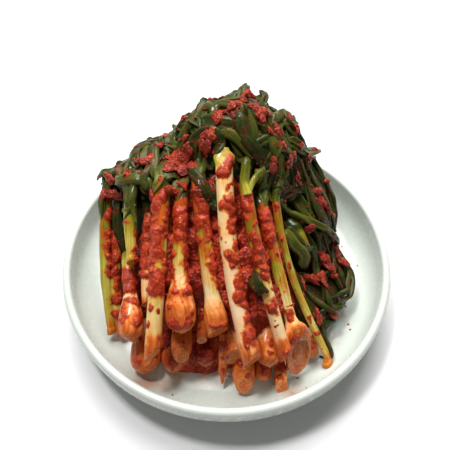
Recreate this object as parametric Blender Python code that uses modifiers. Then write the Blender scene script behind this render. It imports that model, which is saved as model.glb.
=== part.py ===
"""Green onion kimchi heaped on a round white dish.

Whole small green onions lie side by side with their bulbs to the front (-Y), climb to the
back over a packed heap, and end under their own dark leaves, which crown the heap and
hang down its right side and its back. Everything sits in a shallow glazed dish.

Units are metres, +Z is up, and the origin is the middle of the dish's foot, on the table.
"""

import math

import bmesh
import bpy
import numpy as np
from mathutils import Vector

MM = 0.001
GAP = 0.35 * MM  # what every piece keeps from its neighbour

# The dish
DISH_R = 90 * MM  # outside radius
DISH_HEIGHT = 28 * MM
FLOOR_Z = 7.5 * MM  # top of the eating surface
FLOOR_R = 70 * MM  # where the floor starts to curve up
LIP_THICKNESS = 4.6 * MM
FOOT_R = 54 * MM  # outside radius of the foot ring
FOOT_WIDTH = 5 * MM
FOOT_DEPTH = 2.5 * MM
BASE_THICKNESS = 4.5 * MM
WALL_CORNER = 15 * MM  # radius of the curve from the floor to the wall
DISH_STEPS = 60

# The heap of leaves: rounded lobes that flow into one another, as centre and half size
LEAF_LOBES = {
    "crown": ((6, 35, 51), (37, 32, 50)),
    "left_shoulder": ((-37, 18, 41), (28, 34, 40)),
    "bed_under_onions": ((-7, -15, 19), (49, 37, 35)),
    "bed_behind_onions": ((-9, 0, 36), (42, 30, 38)),
    "right_shoulder": ((35, 23, 26), (26, 37, 34)),
    "right_fall": ((48, -19, 14), (22, 31, 18)),
}
LOBE_BLEND = 0.16  # how softly the lobes flow together, as a share of their size
HEAP_HEART = (4, 18, 24)  # a point deep in the heap that sees its whole surface
HEAP_SEGMENTS, HEAP_RINGS = 48, 21
LOCK_COUNT = 15  # locks of leaves around the crown
LOCK_RELIEF = 2.6  # mm, how far a lock stands out of the furrow beside it

# The largest lumps of chilli paste on the leaves, as centre and half size
PASTE_LUMPS = {
    "left": ((-22.5, 11.5, 82.5), (6.6, 4.6, 6.4)),
    "top": ((-9.5, 18, 92.5), (5.0, 4.2, 4.6)),
    "crown": ((4, 31, 102), (4.4, 4.2, 3.4)),
}
LUMP_SEGMENTS, LUMP_RINGS = 10, 7
LUMP_RELIEF = 0.12  # of its size

# The onions: name, foot x, y, z, head x, y, z, bow, arch, stem and bulb diameter, all in mm.
# The foot is the middle of the trimmed root end, and the head is under the leaves.
ONIONS = [
    ("outer_left", -60.4, -43, 14, -63, 19, 58, -3.75, 6, 5.6, 5.2),
    ("outer_red", -54.2, -43.5, 12.5, -55.2, 4, 47, -4.5, 4, 4.8, 4.8),
    ("round_left", -46, -54.5, 34.5, -49, -24, 46, 1, 1, 6.4, 12.8),
    ("second_left", -38.2, -41, 43, -38.4, -5, 62, -1, 1, 5.6, 5.6),
    ("folded_left", -46, -24, 54, -47, 8, 72, -1.25, 2, 6.0, 5.6),
    ("slanted_cut", -34.5, -65, 38, -30.5, 1, 80, 0.5, 3, 7.6, 7.8),
    ("round_middle", -21.5, -53.5, 42, -21.5, -5, 76, -1.5, 3, 6.6, 14.4),
    ("flat_cut", -4.2, -54.5, 40, -13, 2, 81, -1.75, 3, 6.8, 10),
    ("long_white", 12, -66.5, 34, -1, 16, 92, -8, 2, 8.0, 10),
    ("forked", 28.8, -63, 30.2, 10.5, 4, 81, -5, 6, 6.4, 7.6),
    ("olive", 38, -65.5, 17.5, 18.5, -4, 70, 2, 6, 5.6, 13.4),
    ("hooked", 52.5, -56, 12.5, 25.5, 5, 71, -7, 9, 4.2, 4.6),
    ("right_pale", 45, -54, 14.5, 35, -29, 28, 1, 0, 5.6, 6.2),
    ("right_olive", 43, -17, 40, 35, -3, 52, 0, 1, 7.8, 8),
    ("low_left", -41, -63.5, 16, -41, -28, 24, 0, 0, 8.2, 14.4),
    ("low_stub", -22, -61, 28, -22, -30, 34, 0, 0, 8.4, 10),
    ("low_behind", -27, -62.5, 14.5, -27, -28, 20, 0, 0, 8.2, 11.4),
    ("low_sauced", -10.5, -60.5, 17, -11, -26, 22, 0, 0, 8.2, 11.8),
    ("small_shoot", -12, -55, 32, -12, -40, 38, 0, 0, 4.0, 4.6),
    ("low_pointed", -1, -68.5, 11.5, -1, -34, 22, 0, 0, 4.6, 3.6),
    ("low_end_on", 8.5, -70.5, 15.5, 9, -34, 18, 0, 0, 8.2, 11.4),
    ("mid_pale", 3.5, -61, 26.5, 1.5, -30, 36, 0, 0, 6.8, 9.6),
    ("mid_pink", 21, -63.5, 24.5, 17, -28, 36, 0, 0, 7.6, 10.2),
    ("low_twin", 18.5, -70.5, 12.5, 18.5, -36, 14, 0, 0, 6.6, 7.6),
    ("low_corner", 27.2, -70.5, 12.5, 27, -36, 14, 0, 0, 6.2, 7.8),
]
ONION_STATIONS = 7  # rings along an onion, past the bulb's own
BULB_LENGTH = 1.7  # of its diameter


def material(name, colour, roughness, metallic=0.0):
    made = bpy.data.materials.new(name)
    made.use_nodes = True
    shader = made.node_tree.nodes["Principled BSDF"]
    shader.inputs["Base Color"].default_value = (*colour, 1.0)
    shader.inputs["Roughness"].default_value = roughness
    shader.inputs["Metallic"].default_value = metallic
    return made


def add(name, data, collection, finish=None):
    """A new object in the collection, with its finish on it."""
    made = bpy.data.objects.new(name, data)
    collection.objects.link(made)
    if finish:
        data.materials.append(finish)
    return made


def arc(centre, radius, start_deg, end_deg, steps):
    """Points (r, z) along a round corner of a turned profile."""
    angles = [math.radians(start_deg + (end_deg - start_deg) * i / steps) for i in range(steps + 1)]
    return [(centre[0] + radius * math.cos(a), centre[1] + radius * math.sin(a)) for a in angles]


def dish_profile():
    """The dish's section from the middle of its floor, over the lip, to the middle of its underside."""
    lip = LIP_THICKNESS / 2
    lip_centre = (DISH_R - lip, DISH_HEIGHT - lip)
    base_z = FLOOR_Z - BASE_THICKNESS
    section = [(0, FLOOR_Z)]
    section += arc((FLOOR_R, FLOOR_Z + WALL_CORNER), WALL_CORNER, -90, -12, 5)
    section += arc(lip_centre, lip, 170, 0, 6)
    section += [(DISH_R - 0.4 * MM, DISH_HEIGHT - 10 * MM)]
    section += [(DISH_R - 5 * MM, DISH_HEIGHT - 17 * MM), (FOOT_R + 14 * MM, base_z + 0.8 * MM)]
    section += [(FOOT_R + 1 * MM, base_z - 0.8 * MM), (FOOT_R, 0), (FOOT_R - FOOT_WIDTH, 0)]
    section += [(FOOT_R - FOOT_WIDTH - 1 * MM, FOOT_DEPTH), (0, base_z)]
    return section


def make_dish(collection, finish):
    section = dish_profile()
    mesh = bpy.data.meshes.new("dish")
    mesh.from_pydata([(r, 0, z) for r, z in section], [(i, i + 1) for i in range(len(section) - 1)], [])
    dish = add("dish", mesh, collection, finish)
    turn = dish.modifiers.new("Turn", "SCREW")
    turn.axis = "Z"
    turn.steps = turn.render_steps = DISH_STEPS
    turn.use_merge_vertices = True
    turn.merge_threshold = 0.00005
    turn.use_smooth_shade = True
    return dish


def onion_route(foot, head, bow, arch, count):
    """A gentle curve from the foot to the head that bows sideways and arches up in its middle."""
    foot, head = np.array(foot), np.array(head)
    middle = (foot + head) / 2 + 2 * np.array([bow, 0, arch]) / 2
    t = np.linspace(0, 1, count)[:, None]
    return foot * (1 - t) ** 2 + 2 * middle * t * (1 - t) + head * t**2


def onion_stations(foot, head, bow, arch, stem, bulb):
    """Points along an onion and the radius at each: a blunt root end, the bulb, and an even stem."""
    fine = onion_route(foot, head, bow, arch, 200)
    along = np.concatenate([[0], np.cumsum(np.linalg.norm(np.diff(fine, axis=0), axis=1))])
    bulb_length = BULB_LENGTH * bulb
    in_bulb = np.array([0, 0.05, 0.16, 0.36, 0.62, 1.0]) * bulb_length
    stations = np.concatenate([in_bulb, np.linspace(bulb_length, along[-1], ONION_STATIONS)[1:]])
    points = np.stack([np.interp(stations, along, fine[:, k]) for k in range(3)], axis=1)
    share = np.clip(stations / bulb_length, 0, 1)
    swell = np.interp(share, [0, 0.05, 0.16, 0.36, 0.62, 1.0], [0.50, 0.80, 0.97, 1.0, 0.75, 0.0])
    radius = np.where(share < 0.3, swell * bulb / 2, stem / 2 + swell * (bulb - stem) / 2)
    return points, radius


def make_onion(name, stations, collection, finish, grow=0.0):
    """One onion as a round tube of varying radius."""
    points, radius = stations
    curve = bpy.data.curves.new(name, "CURVE")
    curve.dimensions = "3D"
    curve.bevel_depth = MM
    curve.bevel_resolution = 2
    curve.use_fill_caps = True
    line = curve.splines.new("POLY")
    line.points.add(len(points) - 1)
    for spot, place, size in zip(line.points, points, radius):
        spot.co = (*(place * MM), 1)
        spot.radius = size + grow / MM
    return add(name, curve, collection, finish)


def as_mesh(source, collection):
    """The same shape as a closed mesh, in place of a curve."""
    bpy.context.view_layer.update()
    graph = bpy.context.evaluated_depsgraph_get()
    mesh = bpy.data.meshes.new_from_object(source.evaluated_get(graph))
    shape = bmesh.new()
    shape.from_mesh(mesh)
    bmesh.ops.remove_doubles(shape, verts=shape.verts, dist=0.00001)
    bmesh.ops.recalc_face_normals(shape, faces=shape.faces)
    shape.to_mesh(mesh)
    shape.free()
    made = add(source.name + ".mesh", mesh, collection)
    made.matrix_world = source.matrix_world
    bpy.data.objects.remove(source)
    return made


def inside_lobes(points):
    """Below 0 inside the heap: the lobes' distances joined by a soft minimum."""
    total = 0
    for centre, half in LEAF_LOBES.values():
        reach = np.linalg.norm((points - np.array(centre)) / np.array(half), axis=1)
        total = total + np.exp(-(reach - 1) / LOBE_BLEND)
    return -LOBE_BLEND * np.log(total)


def reach_of(inside, heart, directions):
    """How far each direction goes from the heart before it leaves the shape, by halving."""
    near, far = np.zeros(len(directions)), np.full(len(directions), 140.0)
    for _ in range(24):
        half = (near + far) / 2
        kept = inside(heart + directions * half[:, None]) < 0
        near, far = np.where(kept, half, near), np.where(kept, far, half)
    return near


def inside_dish(points):
    """Below 0 where a point, in mm, is clear of the dish's floor and of its wall."""
    corner = WALL_CORNER / MM - 1.2
    low = np.clip(FLOOR_Z / MM + WALL_CORNER / MM - points[:, 2], 0, None)
    wall = FLOOR_R / MM + np.sqrt(np.clip(corner**2 - low**2, 0, None))
    out = np.hypot(points[:, 0], points[:, 1]) - wall
    under = (FLOOR_Z + GAP) / MM - points[:, 2]
    return np.maximum(out, under)


def heap_surface(directions):
    """How far the heap reaches from its heart along each direction, inside the dish."""
    heart = np.array(HEAP_HEART, float)
    lobes = reach_of(inside_lobes, heart, directions)
    around = np.arctan2(directions[:, 1], directions[:, 0])
    slope = np.sqrt(1 - np.clip(directions[:, 2], -1, 1) ** 2)
    wander = 0.5 * np.sin(2 * around + 3 * directions[:, 2]) + 0.4 * np.sin(5 * directions[:, 2] + around)
    locks = np.abs(np.sin(LOCK_COUNT / 2 * around + wander)) - 0.6
    return np.minimum(lobes + LOCK_RELIEF * locks * slope, reach_of(inside_dish, heart, directions))


def make_leaf_heap(collection, finish):
    mesh = bpy.data.meshes.new("leaf_heap")
    shape = bmesh.new()
    bmesh.ops.create_uvsphere(shape, u_segments=HEAP_SEGMENTS, v_segments=HEAP_RINGS, radius=1)
    shape.to_mesh(mesh)
    shape.free()
    directions = np.empty(len(mesh.vertices) * 3)
    mesh.vertices.foreach_get("co", directions)
    directions = directions.reshape(-1, 3)
    directions /= np.linalg.norm(directions, axis=1)[:, None]
    places = np.array(HEAP_HEART) + directions * heap_surface(directions)[:, None]
    mesh.vertices.foreach_set("co", (places * MM).ravel())
    mesh.update()
    return add("leaf_heap", mesh, collection, finish)


def make_lump(name, centre, half, collection, finish, grow=0.0):
    """An uneven lump: a ball stretched to its half sizes, with knobs all over."""
    shape = bmesh.new()
    bmesh.ops.create_uvsphere(shape, u_segments=LUMP_SEGMENTS, v_segments=LUMP_RINGS, radius=1)
    for spot in shape.verts:
        x, y, z = spot.co
        knob = 1 + LUMP_RELIEF * math.sin(5 * x + centre[0]) * math.sin(5 * y) * math.cos(4 * z)
        spot.co = Vector((centre[i] * MM + c * (knob * half[i] * MM + grow) for i, c in enumerate((x, y, z))))
    bmesh.ops.triangulate(shape, faces=shape.faces)
    mesh = bpy.data.meshes.new(name)
    shape.to_mesh(mesh)
    shape.free()
    return add(name, mesh, collection, finish)


def hide(cutter):
    cutter.hide_render = True
    cutter.display_type = "WIRE"


def cut_by(target, cutters):
    cut = target.modifiers.new("Nest", "BOOLEAN")
    cut.operation = "DIFFERENCE"
    cut.operand_type = "COLLECTION"
    cut.collection = cutters
    cut.solver = "EXACT"


def main():
    for old in list(bpy.data.objects):
        bpy.data.objects.remove(old)
    scene = bpy.context.scene
    parts = bpy.data.collections.new("green_onion_kimchi")
    cutters = bpy.data.collections.new("cutters")
    scene.collection.children.link(parts)
    scene.collection.children.link(cutters)

    porcelain = material("porcelain", (0.80, 0.83, 0.79), 0.18)
    leaf = material("leaf", (0.035, 0.06, 0.02), 0.35)
    onion = material("onion", (0.80, 0.52, 0.26), 0.3)
    paste = material("chilli_paste", (0.42, 0.035, 0.015), 0.3)

    make_dish(parts, porcelain)
    heap = make_leaf_heap(parts, leaf)
    for name, fx, fy, fz, hx, hy, hz, bow, arch, stem, bulb in ONIONS:
        stations = onion_stations((fx, fy, fz), (hx, hy, hz), bow, arch, stem, bulb)
        make_onion("onion_" + name, stations, parts, onion)
        hide(as_mesh(make_onion("room_" + name, stations, cutters, None, GAP), cutters))
    for name, (centre, half) in PASTE_LUMPS.items():
        make_lump("paste_" + name, centre, half, parts, paste)
        hide(make_lump("room_" + name, centre, half, cutters, None, GAP))
    cut_by(heap, cutters)


main()
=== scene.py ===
# %% [markdown]
# Green onion kimchi on a round dish.
#
# Whole small green onions are salted, coated in chilli paste and laid side by side, bulbs to
# the front. Their own wilted leaves are folded back over them and make a dark, tangled heap.
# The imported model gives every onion, the heap and the dish as plain solids. This script keeps
# their places and sizes and gives each one its real surface.

import math

import bpy
import numpy as np
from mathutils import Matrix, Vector


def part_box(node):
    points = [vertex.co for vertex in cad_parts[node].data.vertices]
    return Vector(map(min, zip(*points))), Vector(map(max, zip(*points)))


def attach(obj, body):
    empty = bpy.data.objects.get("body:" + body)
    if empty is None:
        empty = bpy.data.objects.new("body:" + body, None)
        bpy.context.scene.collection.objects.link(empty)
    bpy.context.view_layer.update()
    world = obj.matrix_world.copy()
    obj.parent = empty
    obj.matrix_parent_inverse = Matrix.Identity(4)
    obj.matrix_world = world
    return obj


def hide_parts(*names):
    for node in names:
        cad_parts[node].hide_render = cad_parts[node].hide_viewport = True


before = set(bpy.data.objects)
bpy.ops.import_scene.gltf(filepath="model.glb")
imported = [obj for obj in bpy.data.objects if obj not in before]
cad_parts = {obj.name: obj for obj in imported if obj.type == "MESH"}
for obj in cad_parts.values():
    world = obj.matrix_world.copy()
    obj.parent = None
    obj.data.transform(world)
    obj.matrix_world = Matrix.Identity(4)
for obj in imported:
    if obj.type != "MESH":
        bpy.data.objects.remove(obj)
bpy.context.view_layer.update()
MM = 0.001

# %% [markdown]
# Natural unevenness.
#
# Food has no straight edge and no even colour. Two kinds of random relief are enough here:
# a soft one, for bends, and one made of rounded cells, for the grains of crushed chilli.
# Both are worked out from a lattice of numbers that depend only on place, so that two
# surfaces that touch get the same unevenness, and every run gives the same dish.


# %% Noise from a lattice
def lattice(cell, seed):
    """A repeatable number from 0 to 1 for each whole-number cell: its three indices mixed bit by bit."""
    h = cell[..., 0] * 374761393 + cell[..., 1] * 668265263 + cell[..., 2] * 974711 + seed * 362437
    h = (h ^ (h >> 13)) * 1274126177
    return ((h ^ (h >> 16)) & 0xFFFFFF) / 0xFFFFFF


def soft_noise(p, size, seed=0):
    """0 to 1, smooth over about size: the numbers at a cell's 8 corners, blended by 3f^2 - 2f^3."""
    q = np.asarray(p) / size
    cell = np.floor(q).astype(np.int64)
    f = q - cell
    f = f * f * (3 - 2 * f)
    total = 0
    for corner in np.ndindex(2, 2, 2):
        side = np.array(corner)
        weight = np.prod(np.where(side, f, 1 - f), axis=-1)
        total = total + weight * lattice(cell + side, seed)
    return total


def grains(p, size, seed=0):
    """1 at the middle of a grain and 0 at its edge: 1 minus the distance to the nearest random point."""
    q = np.asarray(p) / size
    cell = np.floor(q).astype(np.int64)
    nearest = np.full(q.shape[:-1], 9.0)
    for step in np.ndindex(3, 3, 3):
        near = cell + np.array(step) - 1
        point = near + np.stack([lattice(near, seed + k) for k in (0, 1, 2)], axis=-1)
        nearest = np.minimum(nearest, np.sum((q - point) ** 2, axis=-1))
    return 1 - np.clip(np.sqrt(nearest), 0, 1)


def ease(low, high, x):
    """0 below low, 1 above high, and an S-curve between."""
    t = np.clip((x - low) / (high - low), 0, 1)
    return t * t * (3 - 2 * t)


print("noise averages", round(float(soft_noise(np.random.default_rng(1).random((999, 3)) * 50, 3).mean()), 2))

# %% [markdown]
# From arrays to pieces.
#
# Every surface here is a grid of points. A tube is a grid that closes on itself one way and
# has a cap at each end. The helpers put such grids into a mesh all at once, with a few
# numbers stored at each point, such as how much paste lies there, for the material to read.


# %% Grids that close into tubes
def tube_faces(count, around):
    """Quads of a closed tube of count rings, and of a strip of quads across each end ring."""
    i, j = np.meshgrid(np.arange(count - 1), np.arange(around), indexing="ij")
    k = (j + 1) % around
    sides = np.stack([i * around + j, i * around + k, (i + 1) * around + k, (i + 1) * around + j], -1)
    a = np.arange(around // 2 - 1)
    first = np.stack([a, around - 1 - a, around - 2 - a, a + 1], -1)
    last = np.stack([a, a + 1, around - 2 - a, around - 1 - a], -1) + (count - 1) * around
    return np.concatenate([sides.reshape(-1, 4), first, last])


def signed_volume(points, quads):
    """The sum over faces of a tetrahedron to the origin: above 0 when the faces point outwards."""
    a, b, c, d = (points[quads[:, k]] for k in range(4))
    return float((np.einsum("ij,ij->i", a, np.cross(b, c)) + np.einsum("ij,ij->i", a, np.cross(c, d))).sum())


def join(grids):
    """Several (points, quads, fields) as one, each with its faces turned outwards."""
    points, quads, fields, start = [], [], {}, 0
    for at, faces, more in grids:
        if signed_volume(at, faces) < 0:
            faces = faces[:, ::-1]
        points.append(at)
        quads.append(faces + start)
        start += len(at)
        for name, values in more.items():
            fields.setdefault(name, []).append(values)
    return np.concatenate(points), np.concatenate(quads), {k: np.concatenate(v) for k, v in fields.items()}


print("a tube of 3 rings of 8 points has", len(tube_faces(3, 8)), "faces")


# %% From a grid to a piece
def make_piece(name, grid, finish, nodes):
    """A mesh object from (points in mm, quads, fields). A field with two numbers a point is a UV map."""
    points, quads, fields = grid
    mesh = bpy.data.meshes.new(name)
    mesh.vertices.add(len(points))
    mesh.vertices.foreach_set("co", (points * MM).astype(np.float32).ravel())
    mesh.loops.add(quads.size)
    mesh.loops.foreach_set("vertex_index", quads.astype(np.int32).ravel())
    mesh.polygons.add(len(quads))
    mesh.polygons.foreach_set("loop_start", np.arange(0, quads.size, 4, dtype=np.int32))
    mesh.polygons.foreach_set("use_smooth", np.ones(len(quads), bool))
    mesh.update(calc_edges=True)
    for field, values in fields.items():
        if values.ndim == 2:
            layer = mesh.uv_layers.new(name=field)
            layer.data.foreach_set("uv", values[quads.ravel()].astype(np.float32).ravel())
        else:
            layer = mesh.attributes.new(field, "FLOAT", "POINT")
            layer.data.foreach_set("value", values.astype(np.float32))
    mesh.materials.append(finish)
    made = bpy.data.objects.new(name, mesh)
    bpy.context.scene.collection.objects.link(made)
    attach(made, "root")
    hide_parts(*nodes)
    return made


# %% Lines
def along(points):
    """Distance travelled at each point of a line."""
    return np.concatenate([[0], np.cumsum(np.linalg.norm(np.diff(points, axis=0), axis=1))])


def unit(v):
    """The vectors at length 1: each divided by its own length."""
    return v / np.maximum(np.linalg.norm(v, axis=-1, keepdims=True), 1e-9)


def resample(points, at):
    """The line's points at the given distances along it."""
    s = along(points)
    return np.stack([np.interp(at, s, points[:, k]) for k in range(points.shape[1])], axis=1)


print("a 3, 4, 0 step is", along(np.array([[0, 0, 0], [3, 4, 0]]))[-1], "long")

# %% [markdown]
# Shaders that several finishes share.
#
# Chilli paste turns up on the onions, on the leaves and between them, so its colour and its
# grain are one node group. Plant fibres, which run along every stem and leaf, are another.
# A third turns a smooth "how much paste" number into a ragged, sharp-edged patch.


# %% Groups and nodes
def new_group(name, inputs, outputs):
    """A shader node group with named inputs (name, kind, default) and outputs (name, kind)."""
    group = bpy.data.node_groups.new(name, "ShaderNodeTree")
    for label, kind, default in inputs:
        socket = group.interface.new_socket(label, in_out="INPUT", socket_type=kind)
        socket.default_value = default
    for label, kind in outputs:
        group.interface.new_socket(label, in_out="OUTPUT", socket_type=kind)
    return group, group.nodes.new("NodeGroupInput"), group.nodes.new("NodeGroupOutput")


def fill(tree, made, values):
    """Each named input of a node set to its number, or linked from its socket."""
    for key, value in values.items():
        if isinstance(value, bpy.types.NodeSocket):
            tree.links.new(value, made.inputs[key])
        else:
            made.inputs[key].default_value = value


def node(tree, kind, inputs=None, **settings):
    """A node with its settings, and its inputs filled from values or linked from sockets."""
    made = tree.nodes.new(kind)
    for key, value in settings.items():
        setattr(made, key, value)
    fill(tree, made, inputs or {})
    return made


print("blender", bpy.app.version_string)


# %% Sums of sockets
def maths(tree, operation, a, b=0.0, clamp=False):
    """The result of one Math node; a and b are numbers or sockets."""
    return node(tree, "ShaderNodeMath", {0: a, 1: b}, operation=operation, use_clamp=clamp).outputs[0]


def times(tree, a, b):
    """a times b."""
    return maths(tree, "MULTIPLY", a, b)


def plus(tree, a, b):
    """a plus b."""
    return maths(tree, "ADD", a, b)


def swing(tree, value, gain):
    """A value from 0 to 1 as a change to either side: (value - 0.5) gain."""
    return times(tree, maths(tree, "SUBTRACT", value, 0.5), gain)


print("a swing of 0.8 by 0.5 is", round((0.8 - 0.5) * 0.5, 2))


# %% Colours and soft steps
def mix_colour(tree, share, a, b, blend="MIX"):
    """Colour a with b mixed in by share; each is a value or a socket."""
    a, b = ((*v, 1.0) if isinstance(v, tuple) else v for v in (a, b))
    return node(tree, "ShaderNodeMix", {0: share, 6: a, 7: b}, data_type="RGBA", blend_type=blend).outputs[2]


def ramp(tree, share, stops):
    """A colour ramp, straight between its stops (place, colour)."""
    made = node(tree, "ShaderNodeValToRGB", {0: share})
    steps = made.color_ramp.elements
    while len(steps) < len(stops):
        steps.new(0.5)
    for step, (place, colour) in zip(steps, stops):
        step.position = place
        step.color = (*colour, 1.0)
    return made.outputs[0]


def grey_ramp(tree, share, low, high, bottom=0.0, top=1.0):
    """A number that goes from bottom, where share is low, to top, where it is high, along an S-curve."""
    made = node(tree, "ShaderNodeMapRange", {0: share, 1: low, 2: high, 3: bottom, 4: top})
    made.interpolation_type = "SMOOTHSTEP"
    return made.outputs[0]


print("node groups so far", len(bpy.data.node_groups))


# %% What a finish reads
def noise_at(tree, where, scale, detail=3.0, rough=0.55):
    """The value of a Noise node; scale counts its features in a metre."""
    settings = {"Vector": where, "Scale": scale, "Detail": detail, "Roughness": rough}
    return node(tree, "ShaderNodeTexNoise", settings).outputs[0]


def flecks_at(tree, where, scale, channel):
    """Round cells: the distance to the nearest one's middle, and a random number that is the cell's own."""
    cells = node(tree, "ShaderNodeTexVoronoi", {"Vector": where, "Scale": scale})
    own = node(tree, "ShaderNodeSeparateColor", {0: cells.outputs["Color"]})
    return cells.outputs[0], own.outputs[channel]


def object_place(tree):
    """The point's place on the piece, in metres."""
    return node(tree, "ShaderNodeTexCoord").outputs["Object"]


def field(tree, name):
    """A number stored at the mesh's points."""
    return node(tree, "ShaderNodeAttribute", attribute_name=name).outputs["Fac"]


def use_group(tree, group, **inputs):
    """The group placed in a material, with its inputs filled from values or sockets."""
    return node(tree, "ShaderNodeGroup", inputs, node_tree=group)


print("noise of scale 300 has features of", round(1000 / 300, 1), "mm")


# %% A material and its shader
def new_finish(name):
    """A material with its Principled shader, ready for links."""
    made = bpy.data.materials.new(name)
    made.use_nodes = True
    return made, made.node_tree, made.node_tree.nodes["Principled BSDF"]


def set_shader(tree, shader, **values):
    """The shader's own sockets filled: coat_weight is Coat Weight. What is the same all over is a number."""
    labels = [name.replace("_", " ").title().replace("Ior", "IOR") for name in values]
    fill(tree, shader, dict(zip(labels, values.values())))


def set_bump(tree, shader, height, strength, distance):
    """A Bump node between a height and the shader's normal; distance in metres."""
    bump = node(tree, "ShaderNodeBump", {"Strength": strength, "Distance": distance, "Height": height})
    tree.links.new(bump.outputs[0], shader.inputs["Normal"])


print("materials so far", len(bpy.data.materials))

# %% [markdown]
# Chilli paste as a node group.
#
# Kimchi paste is ground chilli in a red sauce: soft, coarse, wet grains and a pale seed here and
# there. Noise alone looks like mud, so rounded cells make the grains. The same cells give the colour
# and the height, so that each grain also catches the light. Grains are lighter towards their raised
# middles, by a random amount for each: partly the flakes' own colour, partly painted light. The gaps
# between grains are darkened almost to black: painted shade.

# %% Chilli paste as a node group
def build_paste_group():
    """Colour and height of coarse chilli paste: dark red, brighter grains, painted shade in the gaps, pale
    seeds.
    """
    group, given, out = new_group(
        "chilli paste", [("Vector", "NodeSocketVector", (0, 0, 0))],
        [("Color", "NodeSocketColor"), ("Height", "NodeSocketFloat"), ("Roughness", "NodeSocketFloat")])
    place = given.outputs["Vector"]
    broad = noise_at(group, place, 190, 4)
    fine = noise_at(group, place, 1900, 4, 0.65)
    grain = node(group, "ShaderNodeTexVoronoi", {"Vector": place, "Scale": 720.0}, feature="SMOOTH_F1")
    own = node(group, "ShaderNodeSeparateColor", {0: grain.outputs["Color"]}).outputs[1]
    base = ramp(group, broad, [(0.28, (0.15, 0.007, 0.004)), (0.5, (0.34, 0.020, 0.008)),
                               (0.68, (0.52, 0.044, 0.014))])
    # each grain lighter towards its raised middle, by a random amount per grain: the flakes' own colour and
    # partly painted light on their tops
    top = grey_ramp(group, grain.outputs[0], 0.50, 0.16)
    share = times(group, top, grey_ramp(group, own, 0.25, 0.8, 0.1, 0.85))
    bright = mix_colour(group, share, base, (0.76, 0.115, 0.028))
    # painted shade: the gaps between the grains darkened towards near black red
    low = grey_ramp(group, grain.outputs[0], 0.52, 0.82, 0.0, 0.55)
    bright = mix_colour(group, low, bright, (0.09, 0.004, 0.002))
    gap, chosen = flecks_at(group, place, 520.0, 0)
    seed_spot = times(group, grey_ramp(group, chosen, 0.84, 0.88), grey_ramp(group, gap, 0.34, 0.24))
    seeded = mix_colour(group, times(group, seed_spot, 0.6), bright, (0.82, 0.24, 0.040))
    height = plus(group, times(group, grain.outputs[0], -1.6), times(group, fine, 1.1))
    fill(group, out, {"Color": seeded, "Height": height,
                      "Roughness": grey_ramp(group, fine, 0.35, 0.7, 0.16, 0.44)})
    return group


PASTE_GROUP = build_paste_group()
print("paste group nodes", len(PASTE_GROUP.nodes))

# %% [markdown]
# Fibres, and the ragged edge of a patch.
#
# Stems and leaves have veins that run along them. Each tube keeps a map with its length one way
# and its girth the other, and noise that is drawn out along that map makes the veins. Where
# paste ends, its edge is broken by grains: fine noise is added to the stored amount of paste
# before it is cut off at a half.

# %% Fibres and ragged edges as node groups
def build_fibre_group():
    """Fine lines along a stem or leaf: noise read from the lane map, squeezed across and drawn out along."""
    group, given, out = new_group(
        "plant fibres", [("Lane", "NodeSocketVector", (0, 0, 0)), ("Across", "NodeSocketFloat", 2.2)],
        [("Line", "NodeSocketFloat"), ("Broad", "NodeSocketFloat")])
    stretch = node(group, "ShaderNodeCombineXYZ", {0: given.outputs["Across"], 1: 0.045, 2: 1.0})
    lane = node(group, "ShaderNodeVectorMath", {0: given.outputs["Lane"], 1: stretch.outputs[0]},
                operation="MULTIPLY")
    line = noise_at(group, lane.outputs[0], 1.0, 3, 0.6)
    broad = noise_at(group, lane.outputs[0], 0.35, 2)
    fill(group, out, {"Line": line, "Broad": broad})
    return group


def build_ragged_group():
    """A ragged patch: 1 where the stored amount plus fine noise passes 0.5, with a thin rim."""
    group, given, out = new_group(
        "ragged patch",
        [("Amount", "NodeSocketFloat", 0.0), ("Vector", "NodeSocketVector", (0, 0, 0)),
         ("Ragged", "NodeSocketFloat", 0.5)],
        [("Mask", "NodeSocketFloat"), ("Stain", "NodeSocketFloat")])
    place = given.outputs["Vector"]
    fine = noise_at(group, place, 1700, 2)
    both = plus(group, noise_at(group, place, 420, 4, 0.6), times(group, fine, 0.35))
    rough = times(group, maths(group, "SUBTRACT", both, 0.675), given.outputs["Ragged"])
    amount = plus(group, given.outputs["Amount"], rough)
    stain = grey_ramp(group, amount, 0.26, 0.52)
    fill(group, out, {"Mask": grey_ramp(group, amount, 0.47, 0.53), "Stain": stain})
    return group


FIBRE_GROUP = build_fibre_group()
RAGGED_GROUP = build_ragged_group()
print("fibre and edge nodes", len(FIBRE_GROUP.nodes), len(RAGGED_GROUP.nodes))

# %% [markdown]
# The dish.
#
# A thrown or pressed porcelain dish is a solid of revolution, so its section is carried once
# round the axis. The real one has a full, rounded lip, a wall that drops almost straight and
# then turns under to a foot, and a floor that runs into the wall in one soft curve. Screw on a
# drawn section would do the same; the grid is used here so that the section can be fine and the
# traces of oily juice round the food can be stored in it.

# %% The dish's section and its grid
# in mm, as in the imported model: radii, heights, the lip's thickness, the foot ring, the floor's thickness
DISH_R, DISH_HEIGHT, FLOOR_Z, FLOOR_R = 90.0, 28.0, 7.5, 70.0
LIP, FOOT_R, FOOT_WIDTH, FOOT_DEPTH, BASE = 4.6, 54.0, 5.0, 2.5, 4.5
WALL_CORNER = 15.0  # radius of the curve from the floor to the wall
DISH_STEPS = 224  # points round it


def arc(centre, radius, start_deg, end_deg, steps):
    """Points on a round corner: centre + radius (cos a, sin a)."""
    a = np.radians(np.linspace(start_deg, end_deg, steps + 1))
    return np.stack([centre[0] + radius * np.cos(a), centre[1] + radius * np.sin(a)], axis=1)


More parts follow.
